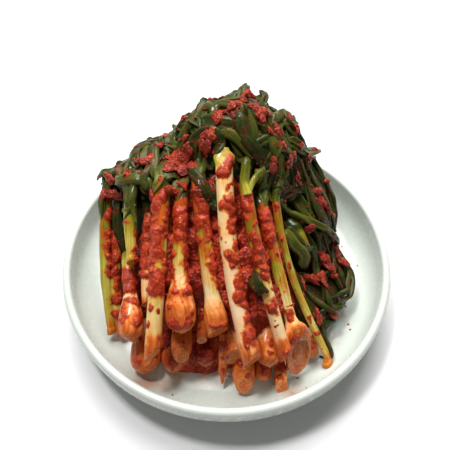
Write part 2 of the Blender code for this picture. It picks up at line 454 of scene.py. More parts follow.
def smooth_line(points, step):
    """A Catmull-Rom curve through the points, resampled about every step."""
    p = np.asarray(points, float)
    before, after = 2 * p[:1] - p[1:2], 2 * p[-1:] - p[-2:-1]
    q = np.concatenate([before, p, after])
    t = np.linspace(0, 1, 24, endpoint=False)[:, None]
    parts = []
    for k in range(1, len(q) - 2):
        a, b, c, d = q[k - 1], q[k], q[k + 1], q[k + 2]
        parts.append(0.5 * (2 * b + (c - a) * t + (2 * a - 5 * b + 4 * c - d) * t**2
                            + (3 * b - a - 3 * c + d) * t**3))
    fine = np.concatenate([*parts, p[-1:]])
    length = along(fine)[-1]
    return resample(fine, np.linspace(0, length, max(4, int(length / step) + 1)))


def dish_section():
    """The dish's outline as (r, z): floor, corner, rim, outer wall, foot ring and underside."""
    lip = LIP / 2
    base_z = FLOOR_Z - BASE
    inside = np.stack([np.linspace(0.4, FLOOR_R, 46)[:-1], np.full(45, FLOOR_Z)], axis=1)
    corner = arc((FLOOR_R, FLOOR_Z + WALL_CORNER), WALL_CORNER, -90, -12, 18)
    rim = arc((DISH_R - lip, DISH_HEIGHT - lip), lip, 168, -8, 22)
    outer = [rim[-1], (DISH_R - 0.5, DISH_HEIGHT - 10), (DISH_R - 4.2, DISH_HEIGHT - 16.5),
             (DISH_R - 12, base_z + 4.6), (FOOT_R + 14, base_z + 1.2), (FOOT_R + 3, base_z - 0.7)]
    wall = smooth_line(outer, 1.6)[1:]
    foot_in = FOOT_R - FOOT_WIDTH
    foot = [(FOOT_R + 0.7, base_z - 1.0), (FOOT_R, 0.35), (FOOT_R - 0.35, 0.0), (foot_in + 0.35, 0.0),
            (foot_in, 0.35), (foot_in - 0.8, FOOT_DEPTH)]
    under = np.stack([np.linspace(FOOT_R - 8, 0.4, 12), np.full(12, base_z)], axis=1)
    return np.concatenate([inside, corner, rim, wall, np.array(foot), under])


def turned(section, steps):
    """The section (r, z) carried round: (r cos a, r sin a, z)."""
    a = np.linspace(0, 2 * np.pi, steps, endpoint=False)
    r, z = section[:, 0][:, None], section[:, 1][:, None]
    grid = np.stack([r * np.cos(a), r * np.sin(a), z + 0 * a], axis=-1)
    return grid.reshape(-1, 3), tube_faces(len(section), steps)


dish_points, dish_quads = turned(dish_section(), DISH_STEPS)
print("dish section points", len(dish_section()), "faces", len(dish_quads))

# %% [markdown]
# The glaze, and juice left round the food.
#
# Red oil creeps out from under kimchi and leaves faint orange traces and single flakes on the
# white. How near a point of the floor is to the food is stored in the mesh, as an amount of
# juice, and the finish breaks that amount up with noise, so that no trace has a drawn edge.

# %% Juice
def dish_fields(points):
    """How near each point of the floor is to the food's edge, as an amount of oily juice."""
    x, y, z = points.T
    front = 1 - np.abs(y + 60 + 0.055 * (x + 6) ** 2 / 6) / 16
    ring = 1 - np.abs(np.hypot(x - 2, y - 2) - 70) / 13
    amount = np.maximum(0.9 * np.clip(ring, 0, 1), 1.1 * np.clip(front, 0, 1) * (np.abs(x) < 60))
    patchy = soft_noise(points, 17, 5) * 0.7 + soft_noise(points, 6, 6) * 0.5
    inside = (z < FLOOR_Z + 9) & (z > FLOOR_Z - 0.2) & (np.hypot(x, y) < FLOOR_R + 13)
    return {"juice": np.clip(amount * patchy, 0, 1) * inside}


dish_grid = (dish_points, dish_quads, dish_fields(dish_points))
print("points with juice", int((dish_grid[2]["juice"] > 0.3).sum()))


# %% Glaze
def build_glaze():
    """White porcelain under a faintly green glaze, with a thin orange film where juice has run."""
    finish, tree, shader = new_finish("porcelain glaze")
    place = object_place(tree)
    broad = noise_at(tree, place, 26, 3)
    fine = noise_at(tree, place, 240, 3)
    glaze = ramp(tree, broad, [(0.3, (0.57, 0.62, 0.56)), (0.7, (0.63, 0.67, 0.61))])
    pit = node(tree, "ShaderNodeTexVoronoi", {"Vector": place, "Scale": 210.0}).outputs[0]
    dot = grey_ramp(tree, pit, 0.075, 0.04)
    glaze = mix_colour(tree, times(tree, dot, 0.3), glaze, (0.42, 0.40, 0.33))
    smear = noise_at(tree, place, 120, 5, 0.65)
    broken = swing(tree, smear, 0.9)
    wet = grey_ramp(tree, plus(tree, field(tree, "juice"), broken), 0.42, 0.95)
    tint = mix_colour(tree, smear, (0.62, 0.30, 0.13), (0.48, 0.13, 0.035))
    glaze = mix_colour(tree, times(tree, wet, 0.6), glaze, tint)
    gap, chosen = flecks_at(tree, place, 300.0, 0)
    chosen = plus(tree, chosen, times(tree, field(tree, "juice"), 0.45))
    flake = times(tree, grey_ramp(tree, gap, 0.24, 0.15), grey_ramp(tree, chosen, 1.02, 1.06))
    glaze = mix_colour(tree, flake, glaze, (0.30, 0.020, 0.008))
    set_shader(tree, shader, base_color=glaze, roughness=grey_ramp(tree, fine, 0.2, 0.8, 0.22, 0.3),
               coat_weight=0.15, coat_roughness=0.12)
    height = plus(tree, broad, times(tree, wet, 0.15))
    set_bump(tree, shader, height, 0.06, 0.0012)
    return finish


make_piece("dish_glazed", dish_grid, build_glaze(), ["dish"])
print("dish, mm", np.ptp(dish_points, axis=0).round(1))

# %% [markdown]
# Where the onions lie.
#
# Each onion is a gentle curve from its trimmed root end, at the front, to a point under the
# leaves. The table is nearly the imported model's own: some widths and ends are fitted closer to
# the food, and each finished onion still lies along its solid. To it are added how the root end
# was cut, how green the stem is at either end, and how much orange has soaked in.

# %% The onions' table
# foot x, y, z, head x, y, z, bow, arch, stem and bulb diameter (mm), end, green foot, green head, stain
ONIONS = {
    "outer_left": (-60.4, -43, 14, -63, 19, 58, -3.75, 6, 5.6, 5.2, "cut", 0.38, 0.66, 0.6),
    "outer_red": (-55.4, -43.5, 12.5, -56.4, 4, 47, -4.5, 4, 5.4, 5.4, "cut", 0.35, 0.62, 0.95),
    "round_left": (-46, -54.5, 34.5, -49, -24, 46, 1, 1, 6.4, 12.8, "root", 0.0, 0.12, 0.8),
    "second_left": (-38.2, -41, 43, -38.4, -5, 62, -1, 1, 5.6, 5.6, "cut", 0.10, 0.40, 0.7),
    "folded_left": (-46, -24, 54, -47, 8, 72, -1.25, 2, 6.0, 5.6, "cut", 0.38, 0.85, 0.3),
    "slanted_cut": (-34.5, -65, 38, -30.5, 1, 80, 0.5, 3, 7.6, 7.8, "slant", 0.2, 0.62, 0.8),
    "round_middle": (-21.5, -53.5, 42, -21.5, -5, 76, -1.5, 3, 6.6, 15.2, "root", 0.0, 0.92, 0.95),
    "flat_cut": (-4.2, -54.5, 40, -13, 2, 81, -1.75, 3, 6.8, 10.8, "cut", 0.10, 0.85, 0.95),
    "long_white": (12, -66.5, 34, -1, 16, 92, -8, 2, 8.0, 10.2, "cut", 0.0, 0.17, 0.85),
    "forked": (28.8, -63, 30.2, 8.6, 3, 81.5, -5, 6, 6.4, 7.6, "cut", 0.06, 0.66, 1.1),
    "olive": (38, -65.5, 17.5, 17.5, -4, 70, -1, 6, 5.6, 14.2, "open", 0.10, 0.74, 0.9),
    "hooked": (52.5, -56, 12.5, 24, 5, 71, -12, 9, 4.2, 4.6, "hook", 0.34, 0.60, 0.75),
    "right_pale": (45, -54, 14.5, 38, -30, 19, 1, 0, 5.6, 6.2, "cut", 0.0, 0.2, 0.8),
    "right_olive": (43, -17, 40, 35, -3, 52, 0, 1, 7.8, 8, "open", 0.62, 0.8, 0.3),
    "low_left": (-41, -63.5, 16, -41, -28, 24, 0, 0, 8.2, 15.2, "root", 0.04, 0.1, 1.15),
    "low_stub": (-22, -61, 28, -22, -30, 34, 0, 0, 8.4, 10, "rings", 0.06, 0.1, 1.0),
    "low_behind": (-27, -62.5, 14.5, -27, -28, 20, 0, 0, 8.2, 12.6, "root", 0.03, 0.1, 1.4),
    "low_sauced": (-10.5, -60.5, 17, -11, -26, 22, 0, 0, 8.2, 11.8, "root", 0.05, 0.1, 1.4),
    "small_shoot": (-12, -55, 32, -12, -40, 38, 0, 0, 4.6, 5.4, "cut", 0.02, 0.1, 2.2),
    "low_pointed": (-2, -69, 11.5, -1.5, -52, 34, 0, 0, 4.4, 4.0, "point", 0.04, 0.1, 3.2),
    "low_end_on": (8.5, -70.5, 15.5, 9, -34, 18, 0, 0, 8.2, 12.0, "rings", 0.04, 0.1, 1.35),
    "mid_pale": (3.5, -61, 26.5, 1.5, -30, 36, 0, 0, 6.8, 10.4, "cut", 0.04, 0.1, 0.85),
    "mid_pink": (21, -63.5, 24.5, 17, -28, 36, 0, 0, 7.6, 12.4, "root", 0.0, 0.1, 0.9),
    "low_twin": (18.2, -67, 12.8, 18.5, -36, 14, 0, 0, 6.6, 9.0, "root", 0.04, 0.1, 1.8),
    "low_corner": (27.4, -71, 12.5, 26.5, -36, 14, 0, 0, 6.0, 7.0, "cut", 0.0, 0.1, 0.75),
}
BULB_LENGTH = 1.7  # of its diameter
AROUND = 40  # points round an onion


def onion_route(foot, head, bow, arch, count=220):
    """A quadratic curve from foot to head whose middle is pushed sideways by bow and up by arch."""
    foot, head = np.array(foot, float), np.array(head, float)
    middle = (foot + head) / 2 + np.array([bow, 0, arch])
    t = np.linspace(0, 1, count)[:, None]
    return foot * (1 - t) ** 2 + 2 * middle * t * (1 - t) + head * t**2


def route_of(row):
    """The curve that a row of the table stands for."""
    return onion_route(row[:3], row[3:6], row[6], row[7])


def onion_width(s, stem, bulb):
    """Radius at a distance s from the foot: the bulb swells and falls back to the even stem."""
    share = np.clip(s / (BULB_LENGTH * bulb), 0, 1)
    swell = np.interp(share, [0, 0.05, 0.16, 0.3, 0.45, 0.62, 0.8, 1.0],
                      [0.62, 0.84, 0.97, 1.0, 0.93, 0.66, 0.28, 0])
    return np.where(share < 0.3, swell * bulb / 2, stem / 2 + swell * (bulb - stem) / 2)


for name, row in ONIONS.items():
    low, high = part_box("onion_" + name)
    lowest = min(row[1], row[4])
    assert abs(low[1] / MM - lowest) < 7 and abs(high[2] / MM - row[5]) < 12, name
print("onions", len(ONIONS), "longest, mm", max(along(route_of(row))[-1] for row in ONIONS.values()).round(1))

# %% [markdown]
# Where the paste lies.
#
# The paste is not spread evenly: it sits in thick patches that bridge neighbouring onions and
# leave bare white and green between. Each patch is a ball of influence, and the amount of paste
# at a point is how deep the point is in the deepest ball, with a wandering edge. Because it is
# a function of place alone, a patch runs on from one onion to the next without a seam.

# %% Tubes along a line
def frames(line, up=(0.0, 0.35, 1.0)):
    """Tangent, side and outward direction at each point: side = tangent x up, outward = side x tangent."""
    tangent = unit(np.gradient(line, axis=0))
    side = unit(np.cross(tangent, np.array(up)))
    return tangent, side, np.cross(side, tangent)


print("a level line's outward direction", frames(np.array([[0, 0, 0], [0, 1, 0], [0, 2, 0]]))[2][0].round(2))

# %% The patches on the onions
# for each onion: distance from the foot in mm, side from -1 left to 1 right, reach in mm
PASTE_ON = {
    "outer_left": [(10, 1, 2), (19, 0.8, 2.4), (30, 1, 2.6), (38, 1.1, 3), (46, 1, 3.6), (54, 0.8, 3.6),
        (62, 1.1, 3.6), (70, -0.6, 3), (72, 1, 4), (60, -1, 1.6)],
    "outer_red": [(4, 0.3, 2.4), (11, -0.3, 2.6), (20, 0.4, 3), (28, 0.4, 3.4), (34, -0.3, 3.4), (41, 0, 4),
        (50, 0, 4.4)],
    "round_left": [(9, -0.8, 1.8), (8, 0.7, 3.4), (13, -0.5, 2.4), (17, 0.5, 3.2), (24, -0.3, 3.2),
        (27, 0.7, 3.8), (31, -0.2, 4.5)],
    "second_left": [(8, 0.6, 2), (14, -0.6, 3), (20, -0.6, 3.6), (25, 0.2, 5), (32, -0.4, 5), (39, 0, 4.4)],
    "folded_left": [(8, 0.8, 1.6), (20, -0.6, 1.4), (30, 0.5, 2.4), (33, -0.3, 1.8), (24, 0.9, 1.2)],
    "slanted_cut": [(8, 0.6, 1.5), (15, -0.7, 1.3), (20, 0.4, 1.2), (22, -0.5, 1.5), (30, -0.6, 3.5),
        (33, 0.5, 6), (37, -0.4, 4), (42, -0.8, 4.6), (44, 0.9, 2.4), (47, -0.5, 4.4), (52, -0.4, 4.2),
        (57, -0.6, 4.6), (55, 0.8, 1.8), (63, -0.6, 3.6), (64, 0.7, 2), (70, -0.8, 4.4), (74, 0.4, 4)],
    "round_middle": [(3, -0.4, 3), (4, 0.3, 2.8), (7, 0.8, 1.8), (10, -0.8, 1.6), (19, -0.5, 2.2),
        (18, 0.6, 3.2), (23, 1.1, 4), (27, -0.9, 3), (30, 1.2, 4.6), (37, 1, 4.4), (36, -1, 2.2),
        (44, 0.4, 3.6), (50, 0.4, 4.4), (55, -0.4, 4)],
    "flat_cut": [(3, -0.6, 2.2), (2, 0.3, 2.6), (13, 0.5, 0.9), (24, 1.3, 3.6), (31, 1.4, 4.2),
        (37, 1.4, 4.4), (44, -0.9, 3.4), (47, 0.4, 4.2), (53, -0.3, 4.4), (60, 0.3, 4.4), (66, -0.3, 4.4)],
    "long_white": [(9, -0.4, 2.2), (13, 0.2, 4), (12, -0.3, 1.6), (20, 0.6, 3.4), (26, 0.6, 3),
        (31, 0.4, 3.6), (37, 0.7, 3.2), (43, 0.8, 3.2), (46, -0.3, 1.6), (50, 0.4, 3.4), (56, 0.8, 2.8),
        (58, -0.7, 1.8), (63, 0.3, 2.8), (67, 0.6, 3), (73, 0.3, 3.2), (77, 0.6, 2.8), (75, -0.5, 1.8),
        (84, 0.9, 2.2), (85, -0.9, 1.6), (91, -0.2, 3), (95, 0.4, 3.2)],
    "forked": [(4, -0.3, 1.8), (10, 0.3, 1.3), (17, -0.6, 1.2), (24, -0.5, 2.6), (27, 0.2, 2.4),
        (33, 0.6, 1.6), (40, 0, 2.6), (44, 0.6, 2), (49, -0.2, 3.6), (55, 0.2, 4.4), (59, -0.4, 4),
        (66, 0.7, 1.4), (71, -0.9, 1.8), (77, -0.6, 3.8), (81, 0.4, 3)],
    "olive": [(3, -0.6, 2), (7, 0.5, 1.2), (11, -0.7, 2), (18, -0.5, 3), (24, 0.4, 1.6), (29, -0.6, 2.2),
        (33, 0.7, 1.6), (47, -0.7, 1.6), (62, 0.4, 1.6), (69, -0.6, 3.8), (74, -0.3, 4.6), (80, -0.3, 4.8),
        (82, 0.6, 3)],
    "hooked": [(16, -0.4, 1.2), (24, -0.4, 1.5), (37, 0.5, 1.2), (55, -0.5, 1.3), (68, 0.5, 1.1),
        (84, -0.8, 2.4)],
    "right_pale": [(4, 0, 2), (9, 0.5, 1.6), (16, -0.4, 2.2), (22, 0.3, 1.4)],
    "right_olive": [(3, 0.2, 1.4), (12, 0.8, 1.2)],
    "low_left": [(2, -0.4, 2.2), (5, 0.7, 1.6), (13, -0.5, 1.4), (17, 0.6, 3)],
    "low_stub": [(3, 0.1, 1.6), (12, -0.4, 2.2), (18, 0.3, 3)],
    "low_behind": [(2, 0.2, 3), (8, 0.5, 3), (15, -0.6, 3)],
    "low_sauced": [(2, 0, 5), (8, -0.4, 4.6)],
    "small_shoot": [(6, -0.5, 1.6), (11, 0.2, 3)],
    "low_pointed": [(8, 0.2, 1.4), (16, 0, 2), (23, 0, 3)],
    "low_end_on": [(3, 0.5, 1.8), (9, -0.4, 2.4), (14, 0.6, 3)],
    "mid_pale": [(6, 0.6, 1.3), (16, 0.7, 2), (24, -0.4, 4.2)],
    "mid_pink": [(5, 0.1, 1.4), (7, -0.6, 1.1), (10, 0.5, 1.5), (14, -0.2, 1.2), (19, -0.4, 3.4),
        (24, 0, 4.4)],
    "low_twin": [(3, 0.3, 2), (9, -0.4, 3)],
    "low_corner": [(3, -0.4, 2), (9, 0.4, 3)],
}


print("onions with paste", len(PASTE_ON))


# %% How much paste lies where
def onion_patches():
    """Each patch's centre on the onion's skin, and its reach.

    The centre is line + radius (turn right + sqrt(1 - turn^2) out), so turn 0 is the upper side.
    """
    found = []
    for name, spots in PASTE_ON.items():
        row = ONIONS[name]
        line = route_of(row)
        run = along(line)
        width = onion_width(run, row[8], row[9])
        right, out = frames(line)[1:]
        for s, turn, reach in spots:
            k = int(np.searchsorted(run, min(s, run[-1] - 0.1)))
            lift = math.sqrt(max(0.0, 1 - min(1, turn * turn)))
            found.append((*(line[k] + width[k] * (turn * right[k] + lift * out[k])), reach))
    return np.array(found)


def wander(p, size, far, seed=0):
    """The points shifted by up to far in each direction, differently from place to place."""
    return p + far * (2 * np.stack([soft_noise(p, size, seed + k) for k in (0, 7, 14)], axis=-1) - 1)


def paste_amount(p, patches):
    """1 deep in a patch, 0.5 at its edge and below 0 far away: the largest of 1 - distance / (2 reach)."""
    q = wander(wander(p, 5.5, 2.6, 30), 1.9, 1.0, 50)
    most = np.full(len(p), -1.0)
    for x, y, z, reach in patches:
        gap = np.sqrt((q[:, 0] - x) ** 2 + (q[:, 1] - y) ** 2 + (q[:, 2] - z) ** 2)
        most = np.maximum(most, 1 - gap / (2 * reach))
    return most


def paste_height(p, amount):
    """How thick the paste stands, in mm: nothing outside a patch, lumpy inside, thicker in the middle."""
    lumpy = 0.25 + 0.25 * grains(p, 2.3, 3) + 0.50 * grains(p, 1.1, 8) + 0.5 * soft_noise(p, 4.5, 12)
    return ease(0.44, 0.76, amount) * lumpy * (0.5 + 0.8 * ease(0.5, 0.95, amount))


PATCHES = onion_patches()
print("patches", len(PATCHES), "reach, mm", PATCHES[:, 3].min(), "to", PATCHES[:, 3].max())

# %% [markdown]
# One onion.
#
# A scallion is a bundle of sheaths: round in section, a little oval, with a trimmed root plate
# that shows the sheaths as rings. It is a tube of changing radius along its curve. The rings
# before the foot make the cut end, from its middle outwards: flat, slanted, rounded or hollow.
# The paste is part of the same surface, raised where the amount says so.

# %% The cut end and the grid
END_RINGS = np.array([0.04, 0.14, 0.26, 0.38, 0.5, 0.62, 0.73, 0.83, 0.91, 0.965])


def end_depth(kind, share, radius):
    """How far each ring of the cut end stands in front of the foot (above 0) or sinks in, in mm."""
    rings = np.sin(share * 2 * np.pi * 3.5)
    if kind == "root":
        return 0.42 * radius * (1 - share**2) + 0.5 * ease(0.3, 0.18, share) + 0.08 * rings
    if kind == "rings":
        return 0.34 * radius * (1 - share**2) + 0.10 * rings
    if kind == "open":
        hollow = ease(0.80, 0.68, share) * ease(0.26, 0.50, share)
        return radius * (0.12 * ease(1.0, 0.85, share) - 0.75 * hollow)
    if kind in ("point", "hook"):
        return 0.7 * radius * (1 - share**2)
    return 0.12 * rings - 0.25 * ease(0.35, 0.1, share)


print("a root end stands out by", round(end_depth("root", 0.0, 5.0), 1), "mm on a radius of 5 mm")

# %% What is special about single onions
# mm by which the stems run on under the leaves
TAILS = {"outer_left": 8, "outer_red": 10, "round_left": 12, "second_left": 14, "folded_left": 9,
         "slanted_cut": 14, "round_middle": 16, "flat_cut": 14, "olive": 14, "hooked": 12, "right_olive": 6}
SAG = 0.045  # how fast such a tail drops: mm per square mm of its run
# how the cut face leans back towards its top and towards its right side, as mm per mm
CUT_SLOPES = {"slant": (0.4, 0.95), "open": (1.9, -0.3), "cut": (0.6, 0.15), "rings": (0.8, 0.0)}
# how much thin sauce films the green half of a stem
FILMS = {"outer_left": 0.15, "outer_red": 0.6, "slanted_cut": 0.5, "round_middle": 0.5, "flat_cut": 0.6,
         "forked": 0.2, "olive": 0.45, "hooked": 0.35, "folded_left": 0.3}
HOOK = [(49.9, -59.4, 10.9), (51.5, -58.8, 11.3)]  # where the hooked foot starts, in mm
ONION_STEP = 0.72  # mm between an onion's rings
print("stems that run on", len(TAILS))


# %% One onion, step by step
def onion_line(name, row):
    """The centre line, with the hook at its foot and the tail under the leaves where it has them."""
    line = route_of(row)
    if row[10] == "hook":
        line = np.concatenate([smooth_line([*HOOK, line[0]], 0.4)[:-2], line])
    if name in TAILS:
        onward = np.linspace(0.5, TAILS[name], 12)[:, None]
        line = np.concatenate([line, line[-1] + unit(line[-1] - line[-5]) * onward - [0, 0, SAG] * onward**2])
    return line


def onion_radius(name, kind, s, stem, bulb):
    """Radius at each distance from the foot: the plain width, and what single onions do to it."""
    length = s[-1]
    radius = onion_width(s, stem, bulb)
    if kind == "point":
        radius = radius * (0.35 + 0.65 * ease(0, 0.30 * length, s))
    if name == "long_white":
        radius = radius * (1 + 0.22 * ease(length - 9, length - 5, s) - 0.75 * ease(length - 4.5, length, s))
    if name == "hooked":
        radius = radius * (1 - 0.12 * np.sin(s / length * np.pi))
    if name in ("outer_left", "folded_left"):
        radius = radius * (0.78 + 0.22 * ease(0, 0.5 * length, s))
    if kind in CUT_SLOPES:
        rim = 0.38 if kind == "rings" else 0.46
        radius = np.where(s < 0.3 * BULB_LENGTH * bulb, np.maximum(radius, rim * bulb), radius)
    return radius


def onion_colours(name, row, length, run, place, seed):
    """How green and how stained each point is.

    Green goes from its foot value to its head value along an S-curve. The stain is largest at
    the root, and a film of sauce is added to it towards the head.
    """
    bulb, green_foot, green_head, stain = row[9], *row[11:]
    share = np.clip(run / length, 0, 1)
    soft = soft_noise(place, 5.5, seed) - 0.5
    green = green_foot + (green_head - green_foot) * ease(0.12, 0.95, share) + 0.10 * soft
    root = ease(0.75 * BULB_LENGTH * bulb + 7, 0.2 * BULB_LENGTH * bulb, run)
    soaked = stain * (0.22 + 0.78 * root) * (0.65 + 0.8 * soft_noise(place, 4, seed + 3)) + 0.15 * soft
    filmed = (0.12 if name == "long_white" else 0.20) + FILMS.get(name, 0.1) * ease(0.25, 0.7, share)
    soaked = soaked + filmed * ease(0.35, 0.68, soft_noise(place, 6, seed + 5))
    if name in TAILS:
        green = green + 0.45 * ease(length - TAILS[name] - 9, length - 4, run)
    if name == "long_white":
        withered = ease(length - 14, length - 5, run)
        green, soaked = green + 0.30 * withered, soaked * (1 - 0.6 * withered) + 0.22 * withered
    return np.clip(green, 0, 1), np.clip(soaked, 0, 1)


def girth_map(a, rho, run):
    """A point's place on the lane map: its way round from the middle of the side, and its run along."""
    return np.stack([(np.minimum(a, 2 * np.pi - a) * rho).ravel(), run], axis=1)


# %% An onion's whole grid
def build_onion(name, row, seed):
    """The onion's grid in mm, and at each point its green, stain, paste and lane."""
    stem, bulb, kind = row[8:11]
    line = onion_line(name, row)
    length = along(line)[-1]
    s = np.linspace(0, length, max(30, int(length / ONION_STEP)))
    centre = resample(line, s)
    centre = centre + 0.35 * (soft_noise(centre, 11, seed)[:, None] - 0.5)
    tangent, side, out = frames(centre)
    radius = onion_radius(name, kind, s, stem, bulb)
    caps = end_depth(kind, END_RINGS, radius[0])
    centre = np.concatenate([centre[0] - caps[:, None] * tangent[0], centre])
    rho = np.concatenate([END_RINGS * radius[0], radius])
    s_all = np.concatenate([np.zeros(len(END_RINGS)), s])
    at_foot = np.zeros(len(END_RINGS), int)
    tangent, side, out = (np.concatenate([v[at_foot], v]) for v in (tangent, side, out))
    a = np.arange(AROUND) / AROUND * 2 * np.pi
    phase = seed * 1.7
    oval = 1 + 0.045 * np.cos(2 * a + phase)[None, :] + 0.012 * np.cos(7 * a + phase + s_all[:, None] * 0.05)
    seam = 0.022 * ease(-0.05, 0.05, np.sin(a[None, :] - phase - s_all[:, None] * 0.012))
    ring = rho[:, None] * (oval + seam * (s_all > 3)[:, None])
    flat = 1 - 0.25 * ease(0.75 * length, length, s_all)[:, None]
    if name == "long_white":
        flat = flat * (1 - 0.55 * ease(length - 9, length - 4, s_all)[:, None])
    across, up = ring * np.cos(a), ring * np.sin(a) * flat
    points = centre[:, None] + across[..., None] * side[:, None] + up[..., None] * out[:, None]
    slope_up, slope_side = CUT_SLOPES.get(kind, (0.0, 0.0))
    if kind == "open":
        near_end = np.clip(1 - s_all / (1.9 * slope_up * radius[0] * 1.75), 0, 1)[:, None]
        up = up + 0.75 * radius[0]
    else:
        near_end = ease(max(5.5, 1.6 * slope_up * radius[0]), 0.0, s_all)[:, None]
    points = points + (near_end * (slope_up * up + slope_side * across))[..., None] * tangent[:, None]
    place = points.reshape(-1, 3)
    normal = unit((points - centre[:, None]).reshape(-1, 3))
    amount = paste_amount(place, PATCHES)
    amount = np.where(place[:, 2] < 10, np.minimum(amount, 0.45), amount)
    soft = soft_noise(place, 5.5, seed) - 0.5
    points = place + normal * (paste_height(place, amount) + 0.22 * soft)[:, None]
    points[:, 2] = np.maximum(points[:, 2], FLOOR_Z + 0.15)
    run = np.repeat(s_all, AROUND)
    green, soaked = onion_colours(name, row, length, run, place, seed)
    fields = {"green": green, "stain": soaked, "paste": amount,
              "ring": np.repeat(np.append(END_RINGS, np.full(len(radius), 1.0)), AROUND),
              "lane": girth_map(a[None, :], rho[:, None], run + 37 * seed)}
    return points, tube_faces(len(rho), AROUND), fields


# %% [markdown]
# Two shoots on one onion.
#
# One stem divides near the crown, as scallions do, into two green shoots. Each shoot is a round
# tube along its own short route. They start inside the stem, so that no seam has to be joined.

# %% The shoots
# the two shoots the forked onion ends in: route in mm, radius at the start and at the end
SHOOTS = [([(9.8, -3, 79.5), (8.4, 2, 82.5), (8.8, 6, 86.5), (9.2, 9.5, 88.2), (9.6, 12.5, 87)], 2.5, 2.3),
          ([(9.6, -2, 79), (11.6, 2.5, 81.2), (14.4, 6, 83), (17.0, 9, 83.6), (19, 12, 82.5)], 1.9, 1.5)]


def build_shoot(route, first, last, seed):
    """A round shoot whose radius goes evenly from first to last; the same fields as an onion."""
    line = smooth_line(np.array(route), 0.6)
    share = np.linspace(0, 1, len(line))[:, None]
    a = np.arange(AROUND) / AROUND * 2 * np.pi
    tangent, side, out = frames(line)
    rho = (first + (last - first) * share) * (1 - 0.5 * ease(0.93, 1.0, share))
    rho = rho * (1 + 0.05 * np.cos(2 * a + seed))
    across, up = rho * np.cos(a), rho * np.sin(a)
    points = line[:, None] + across[..., None] * side[:, None] + up[..., None] * out[:, None]
    points = points.reshape(-1, 3)
    run = np.repeat(along(line), AROUND)
    soft = soft_noise(points, 3, seed)
    fields = {"green": 0.42 + 0.5 * np.repeat(share[:, 0], AROUND) + 0.15 * (soft - 0.5),
              "stain": 0.35 * soft, "paste": 0.3 * soft, "ring": np.ones(len(points)),
              "lane": girth_map(a, rho, run + 9.0 * seed)}
    return points, tube_faces(len(line), AROUND), fields


print("shoots", len(SHOOTS), "lengths, mm", [round(along(np.array(shoot[0]))[-1], 1) for shoot in SHOOTS])

# %% [markdown]
# Onion skin.
#
# A salted scallion is translucent: white at the bulb, then yellow green, then dark green, with
# fibres that run its whole length. Red oil soaks in most at the root end, where the cut shows
# the sheaths as rings. All of this is one finish. What changes from onion to onion is stored at
# the points, so 25 pieces share one material and still differ.

